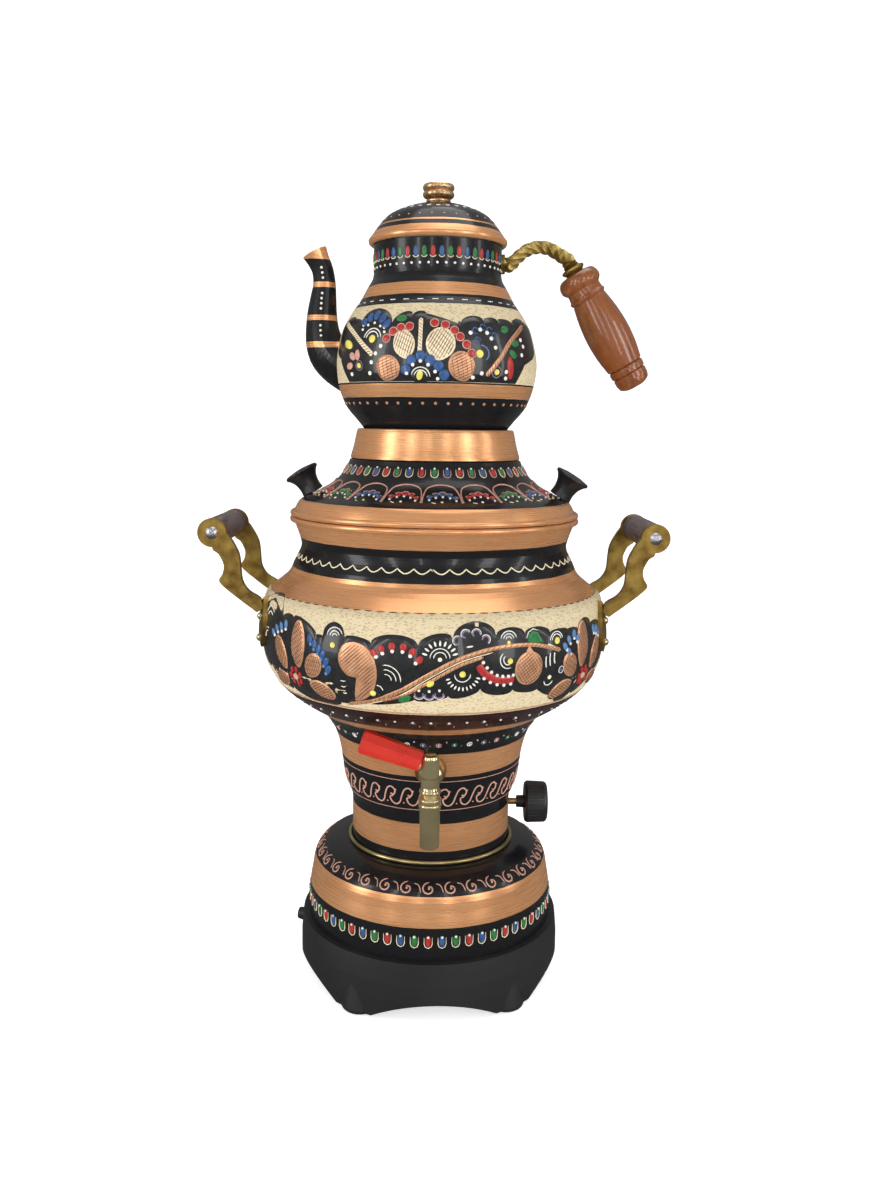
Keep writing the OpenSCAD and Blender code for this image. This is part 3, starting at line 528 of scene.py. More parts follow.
class Overlay:
    """Raised enamel and copper on the outside of one spun shell."""

    def __init__(self, node_names, body, slot):
        self.body, self.slot = body, slot
        self.verts, self.faces, self.tints = [], [], []
        rows = {}
        for mesh in (nodes[name].data for name in node_names):
            for face in mesh.polygons:
                centre, normal = face.center, face.normal
                size = math.hypot(centre.x, centre.y)
                out = (normal.x * centre.x + normal.y * centre.y) / size
                across = (normal.y * centre.x - normal.x * centre.y) / size
                if out > 0.02 and abs(across) < 0.06:
                    for index in face.vertices:
                        at = mesh.vertices[index].co
                        key = round(at.z * 2e4)
                        rows[key] = max(rows.get(key, 0), math.hypot(at.x, at.y))
        self.z = np.array(sorted(rows)) / 20.0
        self.r = np.array([rows[key] for key in sorted(rows)]) * 1000
        self.s = np.concatenate([[0], np.cumsum(np.hypot(np.diff(self.r), np.diff(self.z)))])

    def point(self, angle, s, lift):
        z, r = np.interp(s, self.s, self.z), np.interp(s, self.s, self.r)
        z2, r2 = np.interp(s + 0.6, self.s, self.z), np.interp(s + 0.6, self.s, self.r)
        z1, r1 = np.interp(s - 0.6, self.s, self.z), np.interp(s - 0.6, self.s, self.r)
        length = math.hypot(z2 - z1, r2 - r1) or 1
        z, r = z - lift * (r2 - r1) / length, r + lift * (z2 - z1) / length
        t = math.radians(angle)
        return (r * math.sin(t) * MM, -r * math.cos(t) * MM, z * MM)

    def along(self, z):
        return float(np.interp(z, self.z, self.s))

    def radius(self, z):
        return float(np.interp(z, self.z, self.r))

    def flat(self, angle, z, shape):
        """Millimetres round and up from a place, as angle and way along the shell."""
        r, s = self.radius(z), self.along(z)
        return [(angle + math.degrees(u / r), s + v) for u, v in shape]

    def add(self, points, faces, tint):
        start = len(self.verts)
        self.verts += points
        self.faces += [tuple(start + i for i in face) for face in faces]
        self.tints += [COLOUR_ORDER.index(tint)] * len(faces)

    def pillow(self, angle, z, shape, tint, lift=0.4, under=0.0):
        """A filled motif with soft edges."""
        middle = np.mean(shape, axis=0)
        rings = ((1.0, -0.15), (0.94, 0.7), (0.7, 0.95), (0.35, 1.0))
        count = len(shape)
        points = []
        for size, rise in rings:
            ring = [middle + (np.array(p) - middle) * size for p in shape]
            points += [self.point(a, s, under + lift * rise) for a, s in self.flat(angle, z, ring)]
        points.append(self.point(*self.flat(angle, z, [middle])[0], under + lift))
        faces = []
        for k in range(len(rings) - 1):
            for i in range(count):
                j = (i + 1) % count
                faces.append((k * count + i, k * count + j, (k + 1) * count + j, (k + 1) * count + i))
        last = (len(rings) - 1) * count
        faces += [(last + i, last + (i + 1) % count, last + count) for i in range(count)]
        self.add(points, faces, tint)

    def line(self, route, width, tint, lift=0.35, under=0.0):
        """A raised line; route is angles and ways along the shell."""
        spot = [np.array(p, float) for p in route]
        if len(spot) < 2:
            return
        r = float(np.interp(spot[0][1], self.s, self.r))
        k = math.pi / 180 * r
        points = []
        for i, p in enumerate(spot):
            step = spot[min(i + 1, len(spot) - 1)] - spot[max(i - 1, 0)]
            du, dv = step[0] * k, step[1]
            size = math.hypot(du, dv) or 1
            half = width / 2 * (0.35 if i in (0, len(spot) - 1) else 1)
            nu, nv = -dv / size * half, du / size * half
            for side, rise in ((1, -0.15), (0.5, 0.8), (-0.5, 0.8), (-1, -0.15)):
                points.append(self.point(p[0] + side * nu / k, p[1] + side * nv, under + lift * rise))
        faces = [(4 * i + j, 4 * i + j + 1, 4 * i + j + 5, 4 * i + j + 4)
                 for i in range(len(spot) - 1) for j in range(3)]
        self.add(points, faces, tint)

    def stroke(self, places, width, tint, lift=0.35, steps=4, under=0.0):
        """A raised line through angles and heights."""
        self.line(smooth([(a, self.along(z)) for a, z in places], steps), width, tint, lift, under)

    def curve(self, angle, z, shape, width, tint, lift=0.35, under=0.0):
        """A raised line through millimetres round and up from a place."""
        self.line(self.flat(angle, z, shape), width, tint, lift, under)

    def dot(self, angle, z, radius, tint, lift=0.45, under=0.0):
        self.pillow(angle, z, round_shape(radius, radius, 12), tint, lift, under)

    def hatch(self, angle, z, shape, spacing, slope, tint="engraved", width=0.5, under=0.42, margin=0.9):
        """Engraver's lines across a motif."""
        middle = np.mean(shape, axis=0)
        edge = [middle + (np.array(p) - middle) * margin for p in shape]
        c, s = math.cos(math.radians(slope)), math.sin(math.radians(slope))
        turned = [(u * c + v * s, v * c - u * s) for u, v in edge]
        low, high = min(p[1] for p in turned), max(p[1] for p in turned)
        for k in range(1, int((high - low) / spacing) + 1):
            level = low + (k - 0.4) * spacing
            cuts = []
            for (u1, v1), (u2, v2) in zip(turned, turned[1:] + turned[:1]):
                if (v1 < level) != (v2 < level):
                    cuts.append(u1 + (u2 - u1) * (level - v1) / (v2 - v1))
            cuts.sort()
            for left, right in zip(cuts[::2], cuts[1::2]):
                if right - left > 0.8:
                    run = [(left + (right - left) * t, level) for t in (0, 0.35, 0.65, 1)]
                    cut = [(u * c - v * s, v * c + u * s) for u, v in run]
                    self.curve(angle, z, cut, width, tint, 0.2, under)

    def petal(self, angle, z, half_wide, half_high, turn=0, tint="copper", slope=40):
        shape = round_shape(half_wide, half_high, 24, turn, 0.25)
        self.pillow(angle, z, shape, tint, 0.5, FIELD)
        self.hatch(angle, z, shape, 1.5, slope, under=0.6)
        self.hatch(angle, z, shape, 2.6, slope + 75, width=0.35, under=0.56)

    def arcs(self, angle, z, radii, start, end, tint="white", width=0.6, under=FIELD):
        for r in radii:
            run = [(r * math.cos(math.radians(t)), r * math.sin(math.radians(t)))
                   for t in np.linspace(start, end, 12)]
            self.curve(angle, z, run, width, tint, 0.3, under)

    def rope(self, places, width, tint="copper"):
        """A copper branch with slanting nicks, like twisted cord."""
        self.stroke(places, width, tint, 0.5, 8, FIELD)
        path = smooth([(a, self.along(z)) for a, z in places], 12)
        r = float(np.interp(path[0][1], self.s, self.r))
        k = math.pi / 180 * r
        travelled = 0.0
        for p, q in zip(path, path[1:]):
            du, dv = (q[0] - p[0]) * k, q[1] - p[1]
            travelled += math.hypot(du, dv)
            if travelled > 1.7:
                travelled = 0.0
                size = math.hypot(du, dv)
                tu, tv = du / size, dv / size
                ends = [(-tv * width * t + tu * width * t, tu * width * t + tv * width * t)
                        for t in (-0.38, 0, 0.38)]
                self.line([(p[0] + u / k, p[1] + v) for u, v in ends], 0.45, "engraved", 0.2, 0.5)

    def band(self, upper, lower, tint, lift=0.15):
        """A painted field between two scalloped edges. An edge is its cusps: an angle, a
        height, and how far the scallop after it swells."""

        def edge(cusps, angle):
            for (a, za, swell), (b, zb, _) in zip(cusps, cusps[1:]):
                if a <= angle <= b:
                    t = (angle - a) / (b - a)
                    return za + (zb - za) * t + swell * math.sqrt(max(0, 1 - (2 * t - 1) ** 2))
            return cusps[-1][1]

        first, last = upper[0][0], upper[-1][0]
        columns, rows = int((last - first) / 0.5) + 1, 10
        tuck = 0.1
        points = []
        for i in range(columns):
            angle = first + (last - first) * i / (columns - 1)
            low, high = self.along(edge(lower, angle)), self.along(edge(upper, angle))
            for j in range(rows + 1):
                rise = -tuck if j in (0, rows) else lift
                past = tuck if j == rows else -tuck if j == 0 else 0
                t = min(max((j - 1) / (rows - 2), 0), 1)
                points.append(self.point(angle, low + (high - low) * t + past, rise))
        step = rows + 1
        faces = [(i * step + j, (i + 1) * step + j, (i + 1) * step + j + 1, i * step + j + 1)
                 for i in range(columns - 1) for j in range(rows)]
        self.add(points, faces, tint)

    def finish(self, name):
        """The whole work as one piece, riding with its shell."""
        mesh = bpy.data.meshes.new(name)
        mesh.from_pydata(self.verts, [], self.faces)
        used = sorted(set(self.tints))
        for index in used:
            mesh.materials.append(palette_materials[COLOUR_ORDER[index]])
        mesh.polygons.foreach_set("material_index", [used.index(t) for t in self.tints])
        mesh.shade_smooth()
        mesh.update()
        made = bpy.data.objects.new(name, mesh)
        bpy.context.scene.collection.objects.link(made)
        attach(made, self.body)


# ---- Base shell: a row of drops and a running scroll -----------------------
# Red, blue and green drops with a white bead and a pale rim stand on the black
# skirt; a hand-cut scroll of curls runs round the dome above.

def jewel(layer, angle, z, half_wide, half_high, tint, rim="cream"):
    """A drop of coloured enamel with a white bead on top and a pale rim below."""
    layer.pillow(angle, z, round_shape(half_wide, half_high, 16), tint, 0.6)
    layer.dot(angle, z + half_high * 0.72, half_wide * 0.42, "white", 0.4, 0.4)
    side, foot = half_wide + 0.7, -half_high - 0.8
    half_rim = [(side, half_high * 0.7), (side, foot * 0.4), (side * 0.72, foot * 0.8)]
    layer.curve(angle, z, [(-u, v) for u, v in half_rim] + [(0, foot)] + half_rim[::-1], 0.5, rim, 0.3, 0.05)


def curl(layer, angle, z, size, turns, hand, width, tint, under=0.0):
    """A spiral that opens outwards from its eye."""
    run = []
    for k in range(15):
        t = k / 14
        r = size * (0.25 + 0.75 * t)
        a = math.radians(90 + hand * turns * 360 * (1 - t))
        run.append((r * math.cos(a), r * math.sin(a)))
    layer.curve(angle, z, run, width, tint, 0.3, under)


skirt = Overlay(["base_shell"], "samovar", "painted_copper")
DROP_COUNT = 60
for k in range(DROP_COUNT):
    jewel(skirt, k * 360 / DROP_COUNT, 51.4, 1.7, 3.6, ("red", "blue", "green")[k % 3])
CURL_COUNT = 34
for k in range(CURL_COUNT):
    angle = k * 360 / CURL_COUNT
    curl(skirt, angle, 81.3, 4.4, 1.1, 1, 1.0, "pink")
    skirt.stroke([(angle + 3.4, 83.2), (angle + 5.6, 82.6), (angle + 6.8, 79.6)], 0.7, "pink")
    skirt.dot(angle, 81.3, 0.7, "pink")
skirt.finish("base_enamel_work")

# ---- Urn: waist scroll, dots, flowers and the garland round the belly ------
# The belly is a stippled cream field. A black garland lies over it, with
# hatched copper flowers beside the handles and a long corded branch between.

urn = Overlay(["waist_shell", "body_shell"], "samovar", "painted_copper")

SCROLLS = 32
for k in range(SCROLLS):
    angle = k * 360 / SCROLLS
    step = 360 / SCROLLS
    urn.stroke([(angle - step * 0.08, 131.6), (angle - step * 0.3, 130.6), (angle - step * 0.2, 127.2),
                (angle + step * 0.06, 126), (angle + step * 0.28, 128), (angle + step * 0.4, 132),
                (angle + step * 0.58, 136.4), (angle + step * 0.84, 137.4), (angle + step * 1.02, 135),
                (angle + step * 0.92, 132.4), (angle + step * 0.74, 133)], 1.0, "pink", 0.4, 5)
    urn.dot(angle + step * 0.5, 127.4, 0.5, "pink", 0.3)
    urn.dot(angle + step * 0.06, 135.8, 0.5, "pink", 0.3)
for level in (123, 142.4):
    urn.stroke([(a, level) for a in range(0, 361, 5)], 0.5, "pink", 0.2, 1)
WAIST_RINGS, BELLY_DOTS, DASHES = 44, 56, 90
for k in range(WAIST_RINGS):
    angle = (k + 0.5) * 360 / WAIST_RINGS
    tint = ("pink", "green", "white", "violet")[k % 4]
    urn.arcs(angle, 167.6, [1.5], 0, 360, tint, 0.6)
    urn.dot(angle, 167.6, 0.55, "white")
    urn.dot(angle + 3.8, 170 - 3 * (k % 2), 0.45, tint)
for k in range(BELLY_DOTS):
    angle = k * 360 / BELLY_DOTS
    urn.dot(angle, 188.6, 0.75, "white")
    if k % 2:
        urn.dot(angle + 2.2, 185.2, 0.4, "pink")
        urn.arcs(angle, 188.6, [1.7], 200, 340, "violet", 0.4)
for k in range(DASHES):
    urn.curve(k * 360 / DASHES, 252.7, [(-2.2, 0), (0, 0.1), (2.2, 0)], 1.1, "engraved", 0.35)

GARLAND_TOP = [(-76, 236, 14), (-54, 243, 2), (-48, 244, 3.5), (-37, 237, 0.5), (-34.5, 237, 8),
               (-26.5, 238, 2), (-18, 236, 5.5), (-4, 236, 4.5), (6, 240, 8.5), (19, 241, 4),
               (28.5, 241, 3.6), (38, 240, 1.4), (46, 240, 1), (51.5, 239, 5), (60, 239.5, 2),
               (68, 238, 6), (76, 236, 0)]
GARLAND_FOOT = [(-76, 224, -6), (-64, 212, -5), (-52, 202, -4.5), (-30, 199, -0.5), (-20, 201, -1.5),
                (-5, 205.5, -2), (5, 208, -3), (14.5, 212, -3.6), (25, 210, -2), (34, 208.5, -1),
                (40, 203, -2), (44, 199.5, -4), (53, 201, -5), (64, 212, -6), (76, 224, 0)]


def flower(layer, angle, z, hand):
    """Five hatched copper petals round a ring of red beads and a pink middle."""
    for away, up, wide, tall, turn in (
            (2, 19.6, 6.2, 14, 0), (-7.4, 12, 6, 10.5, 28), (8.6, 9, 6.2, 8.4, -35),
            (10.8, -5, 5.8, 9.4, -112), (-9.6, -4.6, 5.4, 9, 112)):
        layer.petal(angle + away * hand, z + up, wide, tall, turn * hand, "copper", 90 + (turn + 50) * hand)
    for k in range(7):
        t = math.radians(k * 360 / 7 + 20)
        layer.pillow(angle, z, [(u + 4.6 * math.cos(t), v + 4.6 * math.sin(t))
                                for u, v in round_shape(1.2, 2.0, 12)], "red", 0.7, 0.3)
    layer.dot(angle, z, 2.2, "pink", 0.7, 0.4)


def beads(layer, places, wide, tall, tint, tip="white"):
    """Drops one beside another, each with a pale tip."""
    for angle, z, turn in places:
        layer.pillow(angle, z, round_shape(wide, tall, 14, turn), tint, 0.5, FIELD)
        t = math.radians(turn - 90)
        layer.pillow(angle, z, [(u + tall * math.cos(t), v + tall * math.sin(t))
                                for u, v in round_shape(wide * 0.55, wide * 0.55, 10)], tip, 0.5, 0.2)


def belly(layer, shift):
    """The whole garland, turned round the urn by shift degrees."""
    def at(places):
        return [(p[0] + shift, *p[1:]) for p in places]

    layer.band(at(GARLAND_TOP), at(GARLAND_FOOT), "black")
    flower(layer, shift - 47, 210, 1)
    flower(layer, shift + 56, 210, -1)
    beads(layer, at([(-60, 232, 60), (-57.5, 235, 45), (-54.6, 237, 25), (-51.8, 239, 5)]), 1.7, 2.8, "sky")
    beads(layer, at([(-39.6, 234, 20), (-37.6, 231.6, 0), (-35.8, 229.4, -10), (-34.2, 226.6, -20),
                     (-33, 222.8, -30), (-32.3, 218.4, -35)]), 1.9, 3.0, "blue", "sky")
    layer.arcs(shift - 30, 237.6, [1.6, 3.2, 5.2], 20, 175)
    layer.dot(shift - 30.6, 232.8, 1.7, "yellow", 0.6, FIELD)
    comma = [(0, 10.2), (-6.4, 8.4), (-9.6, 2.4), (-8.6, -4.4), (-4, -9.2), (1.6, -10.2), (4.4, -13),
             (3.6, -18.6), (-1.6, -25.2), (4.6, -23.6), (10.6, -18), (13.8, -10), (13.6, -2), (10.6, 5),
             (5.6, 9)]
    comma = [tuple(q) for q in smooth(comma + comma[:1], 3)[:-1]]
    layer.pillow(shift - 23.4, 226, comma, "copper", 0.5, FIELD)
    layer.hatch(shift - 23.4, 226, comma, 1.6, 42, under=0.58)
    for z, wide in ((213, 3.2), (209.6, 3.0), (205.6, 2.6)):
        layer.curve(shift - 27.2, z, [(-wide / 2, 0.4), (0, 0), (wide / 2, 0.5)], 0.8, "white", 0.3, FIELD)
    beads(layer, at([(-17, 231, 35), (-14.8, 233.4, 22), (-11.6, 235, 8), (-8.2, 235, -8), (-5.5, 232.6, -28),
                     (-3.6, 228.4, -45)]), 2.0, 2.5, "red")
    layer.arcs(shift - 13.4, 216.4, [3.2, 5.8, 8.4], -5, 100)
    layer.arcs(shift - 16.2, 209.6, [3.4], 10, 90)
    layer.dot(shift - 17.6, 208, 1.8, "yellow", 0.6, FIELD)
    layer.pillow(shift - 8, 205.8, round_shape(3.8, 2.4, 16, 25), "green", 0.6, FIELD)
    layer.rope(at([(-27, 199), (-18, 203), (-9, 210.6), (0, 221), (9, 229.6), (19, 234.2), (30, 234.6),
                   (38, 231.6), (42, 229.2)]), 2.6)
    layer.rope(at([(-15, 203.6), (-8, 208.2), (0, 216.8), (8, 225.4), (15, 229.6)]), 1.9)
    layer.stroke(at([(-20, 200.6), (-10, 207), (0, 219), (9, 227.8), (18, 232)]), 0.6, "cream", 0.3, 5, FIELD)
    for angle, z in ((-3.6, 208.6), (-0.6, 208.2), (2.4, 208.8)):
        layer.arcs(shift + angle, z, [2.3], 150, 390, "violet", 1.0)
        layer.arcs(shift + angle, z, [2.9], 190, 350, "white", 0.4)
        layer.dot(shift + angle, z + 2.6, 0.8, "white", 0.5, FIELD)
    layer.pillow(shift - 0.4, 215.4, round_shape(2.4, 1.9, 14, 30), "yellow", 0.6, FIELD)
    for k in range(9):
        t = math.radians(16 + k * 18.5)
        ray = round_shape(0.6, 1.6, 10, math.degrees(t) - 90)
        layer.pillow(shift + 2.4, 229.4, [(u + 8.6 * math.cos(t), v + 8.2 * math.sin(t)) for u, v in ray],
                     "white", 0.4, FIELD)
    layer.arcs(shift + 2.4, 229.4, [3.4, 5.4], 0, 180)
    layer.dot(shift + 2.4, 228.8, 1.2, "cream", 0.5, FIELD)
    for angle, z, start in ((7.4, 239, 60), (9.8, 242.4, 20), (13, 242.6, -20), (15.8, 239.2, -60)):
        layer.arcs(shift + angle, z, [2.0], start, start + 250, "violet", 1.1)
        layer.arcs(shift + angle, z, [2.6], start, start + 200, "white", 0.5)
    layer.stroke(at([(10, 235.4), (12, 235.8)]), 1.0, "white", 0.3, 4, FIELD)
    layer.arcs(shift + 23, 238.4, [1.7, 3.2, 4.8], 10, 170)
    layer.dot(shift + 23, 236.8, 1.1, "yellow", 0.5, FIELD)
    layer.pillow(shift + 32, 237.8, [(-5.2, -1.6), (-4.4, 2.6), (-1.2, 4.6), (2, 3.4), (4.4, 0), (6.4, -2.8),
                                     (1, -2.6)], "green", 0.7, FIELD)
    layer.curve(shift + 32, 237.8, [(-5.6, 0.4), (-4.2, 3.8), (-1, 5.4), (2.4, 4.2)], 0.7, "white", 0.3,
                FIELD)
    layer.arcs(shift + 40.6, 235, [3.6, 5.0], 10, 175)
    layer.dot(shift + 40.8, 234.8, 2.0, "yellow", 0.6, FIELD)
    layer.stroke(at([(36.8, 233.6), (38.4, 232.4), (40, 231)]), 1.3, "cream", 0.3, 4, FIELD)
    beads(layer, at([(44.4, 230.6, 30), (46.4, 234, 20), (49, 236.6, 0), (51, 234, -20), (46, 227.4, 40)]),
          1.7, 2.6, "sky")
    disc = round_shape(9.3, 9.8, 28)
    layer.pillow(shift + 30, 221.4, disc, "copper", 0.55, FIELD)
    layer.hatch(shift + 30, 221.4, disc, 1.7, 35, under=0.6)
    layer.hatch(shift + 30, 221.4, disc, 1.7, -55, under=0.6, width=0.35)
    layer.pillow(shift + 30, 232, [(-2.6, -1.6), (0, 2.4), (2.6, -1.6), (0, -2.2)], "copper", 0.45, FIELD)
    layer.stroke(at([(13.6, 225.6), (15.6, 220.6), (19, 216.8), (22.4, 215.8), (25, 216.2)]),
                 4.6, "red", 0.5, 5, FIELD)
    for angle, z in ((15, 226.8), (16.2, 223.8), (17.6, 221.2), (19.4, 219.2), (21.2, 218.4), (23, 218.2),
                     (24.6, 218.6), (15.4, 217.8), (17.4, 215.4), (19.6, 213.8), (21.8, 213.2), (24, 213.6)):
        layer.dot(shift + angle, z, 0.95, "white", 0.5, 0.2)
    layer.arcs(shift + 22.8, 227.4, [2.8, 4.8], 130, 290)
    layer.dot(shift + 23.4, 226.6, 1.7, "yellow", 0.6, FIELD)
    layer.dot(shift + 9, 220.6, 1.8, "yellow", 0.6, FIELD)
    layer.arcs(shift + 9, 220.6, [4.4], 180, 360)
    for k in range(11):
        t = math.radians(196 + k * 15)
        ray = round_shape(0.5, 1.3, 8, math.degrees(t) - 90)
        layer.pillow(shift + 9.2, 220, [(u + 8.6 * math.cos(t), v + 8 * math.sin(t)) for u, v in ray],
                     "white", 0.4, FIELD)
    for angle, low, high in ((36.4, 220.4, 227), (38, 221, 228.6), (39.8, 222, 228.4)):
        layer.stroke(at([(angle, low), (angle - 0.3, (low + high) / 2), (angle - 0.2, high)]),
                     0.9, "white", 0.3, 3, FIELD)
    layer.dot(shift + 38.2, 214.4, 1.3, "cream", 0.5, FIELD)
    layer.arcs(shift + 38, 213, [3.4], 190, 340)
    layer.arcs(shift + 43, 217.6, [2.0], 0, 360, "white", 0.5)
    layer.dot(shift + 43, 217.6, 0.8, "sky", 0.4, FIELD)
    beads(layer, at([(62, 236, 10), (64.6, 235, -15), (67, 232.6, -35)]), 1.8, 2.8, "sky")
    layer.arcs(shift - 64, 238, [5, 8], 40, 150, "white", 0.7)
    layer.arcs(shift - 66, 228, [3, 5], 60, 200, "white", 0.6)


belly(urn, 0)
belly(urn, 180)
urn.stroke([(k * 0.9, 274.4 - 2.6 * abs(math.sin(k * math.pi / 7))) for k in range(401)],
           0.8, "cream", 0.3, 1)
urn.stroke([(a, 196) for a in range(0, 361, 3)], 1.2, "copper", 0.25, 1)
urn.finish("urn_enamel_work")

# ---- Lid: corded arches and a ring of jewels -------------------------------
# Pink corded arches hold coloured dots; a ring of jewels stands under the
# copper collar, in which the teapot sits.

dome = Overlay(["lid_shell"], "lid", "painted_copper")
ARCHES = 20
for k in range(ARCHES):
    angle = 3.5 + k * 360 / ARCHES
    half = 360 / ARCHES / 2
    dome.rope([(angle - half * 0.97, 310), (angle - half * 0.95, 314), (angle - half * 0.8, 317.4),
               (angle - half * 0.4, 319), (angle, 319.4), (angle + half * 0.4, 319),
               (angle + half * 0.8, 317.4), (angle + half * 0.95, 314), (angle + half * 0.97, 310)],
              0.9, "pink")
    tint = ("blue", "red", "green")[k % 3]
    for step, level, wide in ((-0.62, 312.8, 1.2), (-0.3, 314, 1.6), (0.06, 314.4, 1.8), (0.42, 313.8, 1.5),
                              (0.7, 312.4, 1.1)):
        dome.pillow(angle + half * step, level, round_shape(wide, 2.1, 12, 25 * step), tint, 0.5)
        dome.dot(angle + half * step, level - 1.4, 0.65, "white", 0.5, 0.2)
        dome.arcs(angle + half * step, level, [wide + 0.5], 10, 170, "pink", 0.45)
    dome.dot(angle, 310.6, 0.8, ("yellow", "cream")[k % 2], 0.4)
    dome.stroke([(angle - half * 0.5, 310.4), (angle - half * 0.3, 310)], 0.5, "cream", 0.3)
LID_JEWELS = 48
for k in range(LID_JEWELS):
    jewel(dome, k * 360 / LID_JEWELS, 326.2, 1.4, 2.7, ("green", "blue", "red")[k % 3],
          ("pale", "pink")[k % 2])
dome.finish("lid_enamel_work")

# ---- Teapot: flower, corded bars, dashes, tongues --------------------------
# The same hand has painted the pot: a black field with a large flower on each
# side, on the cream band, with dashes above and rows of beads round the neck.

pot = Overlay(["teapot_body"], "teapot", "painted_copper")
POT_TOP = [(-75, 410, 3), (-58, 412.6, 1), (-50, 411, 8), (-26, 409, 4), (-14, 413.4, 2), (-6, 414.2, 0.5),
           (12, 408.8, 1), (14, 409.4, 3.4), (28, 411, 2), (38, 411.6, 1.8), (50, 411, 2.4), (66, 413, 1),
           (75, 410, 0)]
POT_FOOT = [(-75, 396, -1), (-66, 391, -1), (-57, 377, 0), (50, 377, 0), (57, 388, 0), (68, 392, 0),
            (75, 396, 0)]


def pot_side(layer, shift):
    """The painted field on one side of the pot."""
    layer.band([(a + shift, z, h) for a, z, h in POT_TOP], [(a + shift, z, h) for a, z, h in POT_FOOT],
               "black")
    for angle, z, wide, tall, turn, tint, slope in (
            (-26.5, 384.2, 7.8, 7.4, -20, "copper", 20), (-17.4, 397.4, 6.4, 8.6, 18, "pale", 75),
            (2.4, 397.6, 8.4, 9.6, -14, "pale", 60), (13.8, 385.4, 7.8, 8.6, 20, "copper", 25)):
        layer.petal(shift + angle, z, wide, tall, turn, tint, slope)
    layer.rope([(shift - 8.6, 392), (shift - 8.6, 402), (shift - 8.8, 411.6)], 2.6, "pale")
    for angle, z in ((-16, 383.4), (-13, 388.4), (-8, 390.8), (-3, 388.4), (1.4, 385.4), (4.4, 380.6)):
        layer.pillow(shift + angle, z, round_shape(2.9, 3.1, 14), "blue", 0.6, 0.5)
    for angle, z in ((-15.4, 381.4), (-12, 386), (-8, 388), (-4, 386), (-0.4, 382.4), (1, 378.6)):
        layer.dot(shift + angle, z, 1.0, "white", 0.5, 0.9)
    layer.pillow(shift - 8, 380, round_shape(5.6, 4.2, 18), "black", 0.5, 0.5)
    layer.pillow(shift - 8.4, 380.4, round_shape(1.8, 2.8, 14, -15), "yellow", 0.6, 0.8)
    layer.arcs(shift - 8, 379.6, [3.6, 5.2], 0, 170, "white", 0.6, 0.9)
    for angle, z in ((-28, 400.6), (-24.4, 404.4), (-20, 406.4), (-15, 407), (-1, 409), (5, 408), (10, 405),
                     (13, 401.6), (16.4, 397.4), (19, 392.6)):
        layer.dot(shift + angle, z, 2.2, "red", 0.5, POT_FIELD)
        layer.arcs(shift + angle, z, [2.4], 0, 360, "pink", 0.6, 0.3)
    for angle, z in ((19, 404), (25, 406), (29, 404.4), (31.4, 401.4), (33.6, 396.4), (20, 379.6), (41, 379.8),
                     (41, 383.4), (55, 402), (56.6, 398.4), (54, 393.4), (-53, 381.4), (-34, 392.4),
                     (-36.6, 387.6), (-38, 381.6), (-31, 396.4), (-30.4, 407), (-46.6, 409), (25, 382),
                     (-20.4, 411)):
        layer.dot(shift + angle, z, 1.2, "white", 0.5, POT_FIELD)
    for angle, z in ((22, 405.4), (27, 407.4), (31, 406), (34, 403), (23, 400)):
        layer.arcs(shift + angle, z, [1.7], 0, 300, "blue", 0.8, POT_FIELD)
    layer.dot(shift + 23.6, 392.6, 2.3, "yellow", 0.6, POT_FIELD)
    layer.arcs(shift + 25, 393, [4.4], -60, 100, "sky", 0.8, POT_FIELD)
    layer.dot(shift + 34.4, 383, 1.7, "yellow", 0.6, POT_FIELD)
    layer.arcs(shift + 34.4, 383, [3.2], 0, 360, "violet", 0.7, POT_FIELD)
    layer.rope([(shift + 28, 380.6), (shift + 36, 390), (shift + 46, 401), (shift + 62, 410.6)], 3.0)
    layer.rope([(shift - 36, 391.6), (shift - 46, 399), (shift - 56, 405.4), (shift - 70, 411.6)],
               3.0, "pale")
    for angle, z, turn in ((-47, 410.6, 40), (-43, 413, 20), (-38, 414, 0), (-33, 412, -20),
                           (-29.4, 408.6, -40)):
        layer.pillow(shift + angle, z, round_shape(2.2, 3.2, 14, turn), "blue", 0.6, POT_FIELD)
        layer.dot(shift + angle * 0.94 - 2.3, z - 4.4, 0.8, "white", 0.5, POT_FIELD)
    layer.dot(shift - 37.6, 400.6, 2.3, "yellow", 0.6, POT_FIELD)
    layer.arcs(shift - 38, 400.4, [4.6, 6.4], 10, 170, "white", 0.7, POT_FIELD)
    layer.pillow(shift - 58, 398.4, round_shape(5, 2.4, 16, -20), "yellow", 0.6, POT_FIELD)
    for angle, z, turn in ((-52, 391.4, 60), (-47.6, 392, 10), (-54.6, 386, 100)):
        layer.pillow(shift + angle, z, round_shape(2, 3.2, 14, turn), "pink", 0.5, POT_FIELD)
    layer.dot(shift - 46, 386, 1.6, "yellow", 0.6, POT_FIELD)
    layer.arcs(shift - 46, 386, [2.8], 0, 360, "violet", 0.6, POT_FIELD)
    layer.pillow(shift + 44, 385.6, round_shape(2.6, 6.6, 16, 8), "red", 0.5, POT_FIELD)
    for angle, z, turn in ((42, 407, 20), (46, 393.4, -30), (49, 399.6, 10), (-20.4, 411.6, 0)):
        layer.pillow(shift + angle, z, round_shape(3.2, 2.1, 14, turn), "green", 0.6, POT_FIELD)


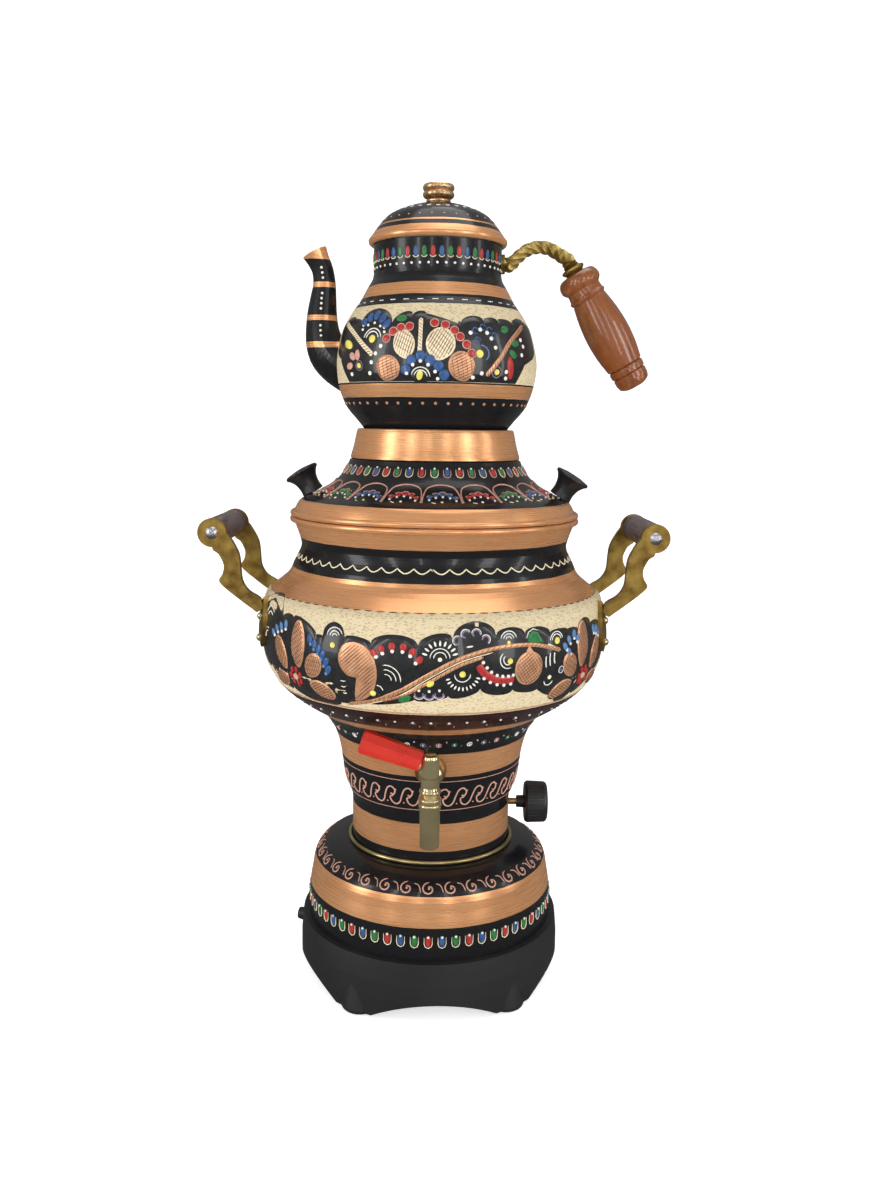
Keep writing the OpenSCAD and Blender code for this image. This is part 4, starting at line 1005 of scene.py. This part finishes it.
pot_side(pot, 0)
pot_side(pot, 180)
POT_DASHES, TONGUES = 36, 48
for k in range(POT_DASHES):
    pot.curve(k * 360 / POT_DASHES - 1, 423, [(-1.7, 0), (1.7, 0)], 1.5, "white", 0.3)
for k in range(TONGUES):
    angle = k * 360 / TONGUES
    pot.dot(angle, 365, 0.9, "copper", 0.35)
    pot.dot(angle, 444.2, 0.75, "white", 0.4)
    pot.pillow(angle + 3.7, 450.6, round_shape(1.4, 3.1, 12), ("blue", "green", "red")[k % 3], 0.4)
    pot.arcs(angle + 3.7, 449, [1.8], 200, 340, "cream", 0.4)
pot.finish("teapot_enamel_work")

# ---- Spout: rows of white beads --------------------------------------------
# Small drops of white enamel run up the front and the back of the spout, three
# or so in each black field. Each has its place: out from the pot, round, and up.

BEAD_R, BEAD_SIDES = 0.8, 10
BEAD_RINGS = ((1.0, -0.2), (0.8, 0.35), (0.0, 0.5))
beads_up = [(-66.6, 12.2, 396), (-67.6, 12.0, 399), (-69.4, 10.8, 405), (-69.7, 10.5, 408),
            (-69.8, 10.3, 411), (-69.6, 9.1, 421), (-69.4, 8.8, 424), (-69.2, 8.5, 427),
            (-68.9, 7.9, 430), (-68.5, 7.2, 439), (-68.9, 7.0, 442), (-69.4, 6.8, 445)]
spout_verts, spout_faces = [], []
for x, out, z in beads_up:
    for front in (-1, 1):
        start = len(spout_verts)
        for wide, rise in BEAD_RINGS:
            for k in range(BEAD_SIDES if wide else 1):
                t = 2 * math.pi * k / BEAD_SIDES
                spout_verts.append(((x + wide * BEAD_R * math.cos(t)) * MM, front * (out + rise) * MM,
                                    (z + wide * BEAD_R * math.sin(t)) * MM))
        inner, tip = start + BEAD_SIDES, start + 2 * BEAD_SIDES
        for k in range(BEAD_SIDES):
            n = (k + 1) % BEAD_SIDES
            spout_faces += [(start + k, start + n, inner + n, inner + k), (inner + k, inner + n, tip)]
spout_mesh = bpy.data.meshes.new("spout_beads")
spout_mesh.from_pydata(spout_verts, [], spout_faces)
spout_mesh.materials.append(palette_materials["white"])
spout_mesh.shade_smooth()
spout_beads = bpy.data.objects.new("spout_beads", spout_mesh)
bpy.context.scene.collection.objects.link(spout_beads)
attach(spout_beads, "teapot")

# ---- Teapot lid: dashes and dots -------------------------------------------
# Two plain rows round the black dome of the lid, white dashes near the knob and
# pink dots below them.

cap = Overlay(["pot_lid"], "teapot_lid", "painted_copper")
CAP_DASHES = 30
for k in range(CAP_DASHES):
    angle = k * 360 / CAP_DASHES
    cap.curve(angle, 477.8, [(-1.2, 0), (0, 0.1), (1.2, 0)], 1.1, "white", 0.3)
    cap.dot(angle + 180 / CAP_DASHES, 472, 0.5, "pink", 0.3)
cap.finish("pot_lid_enamel_work")
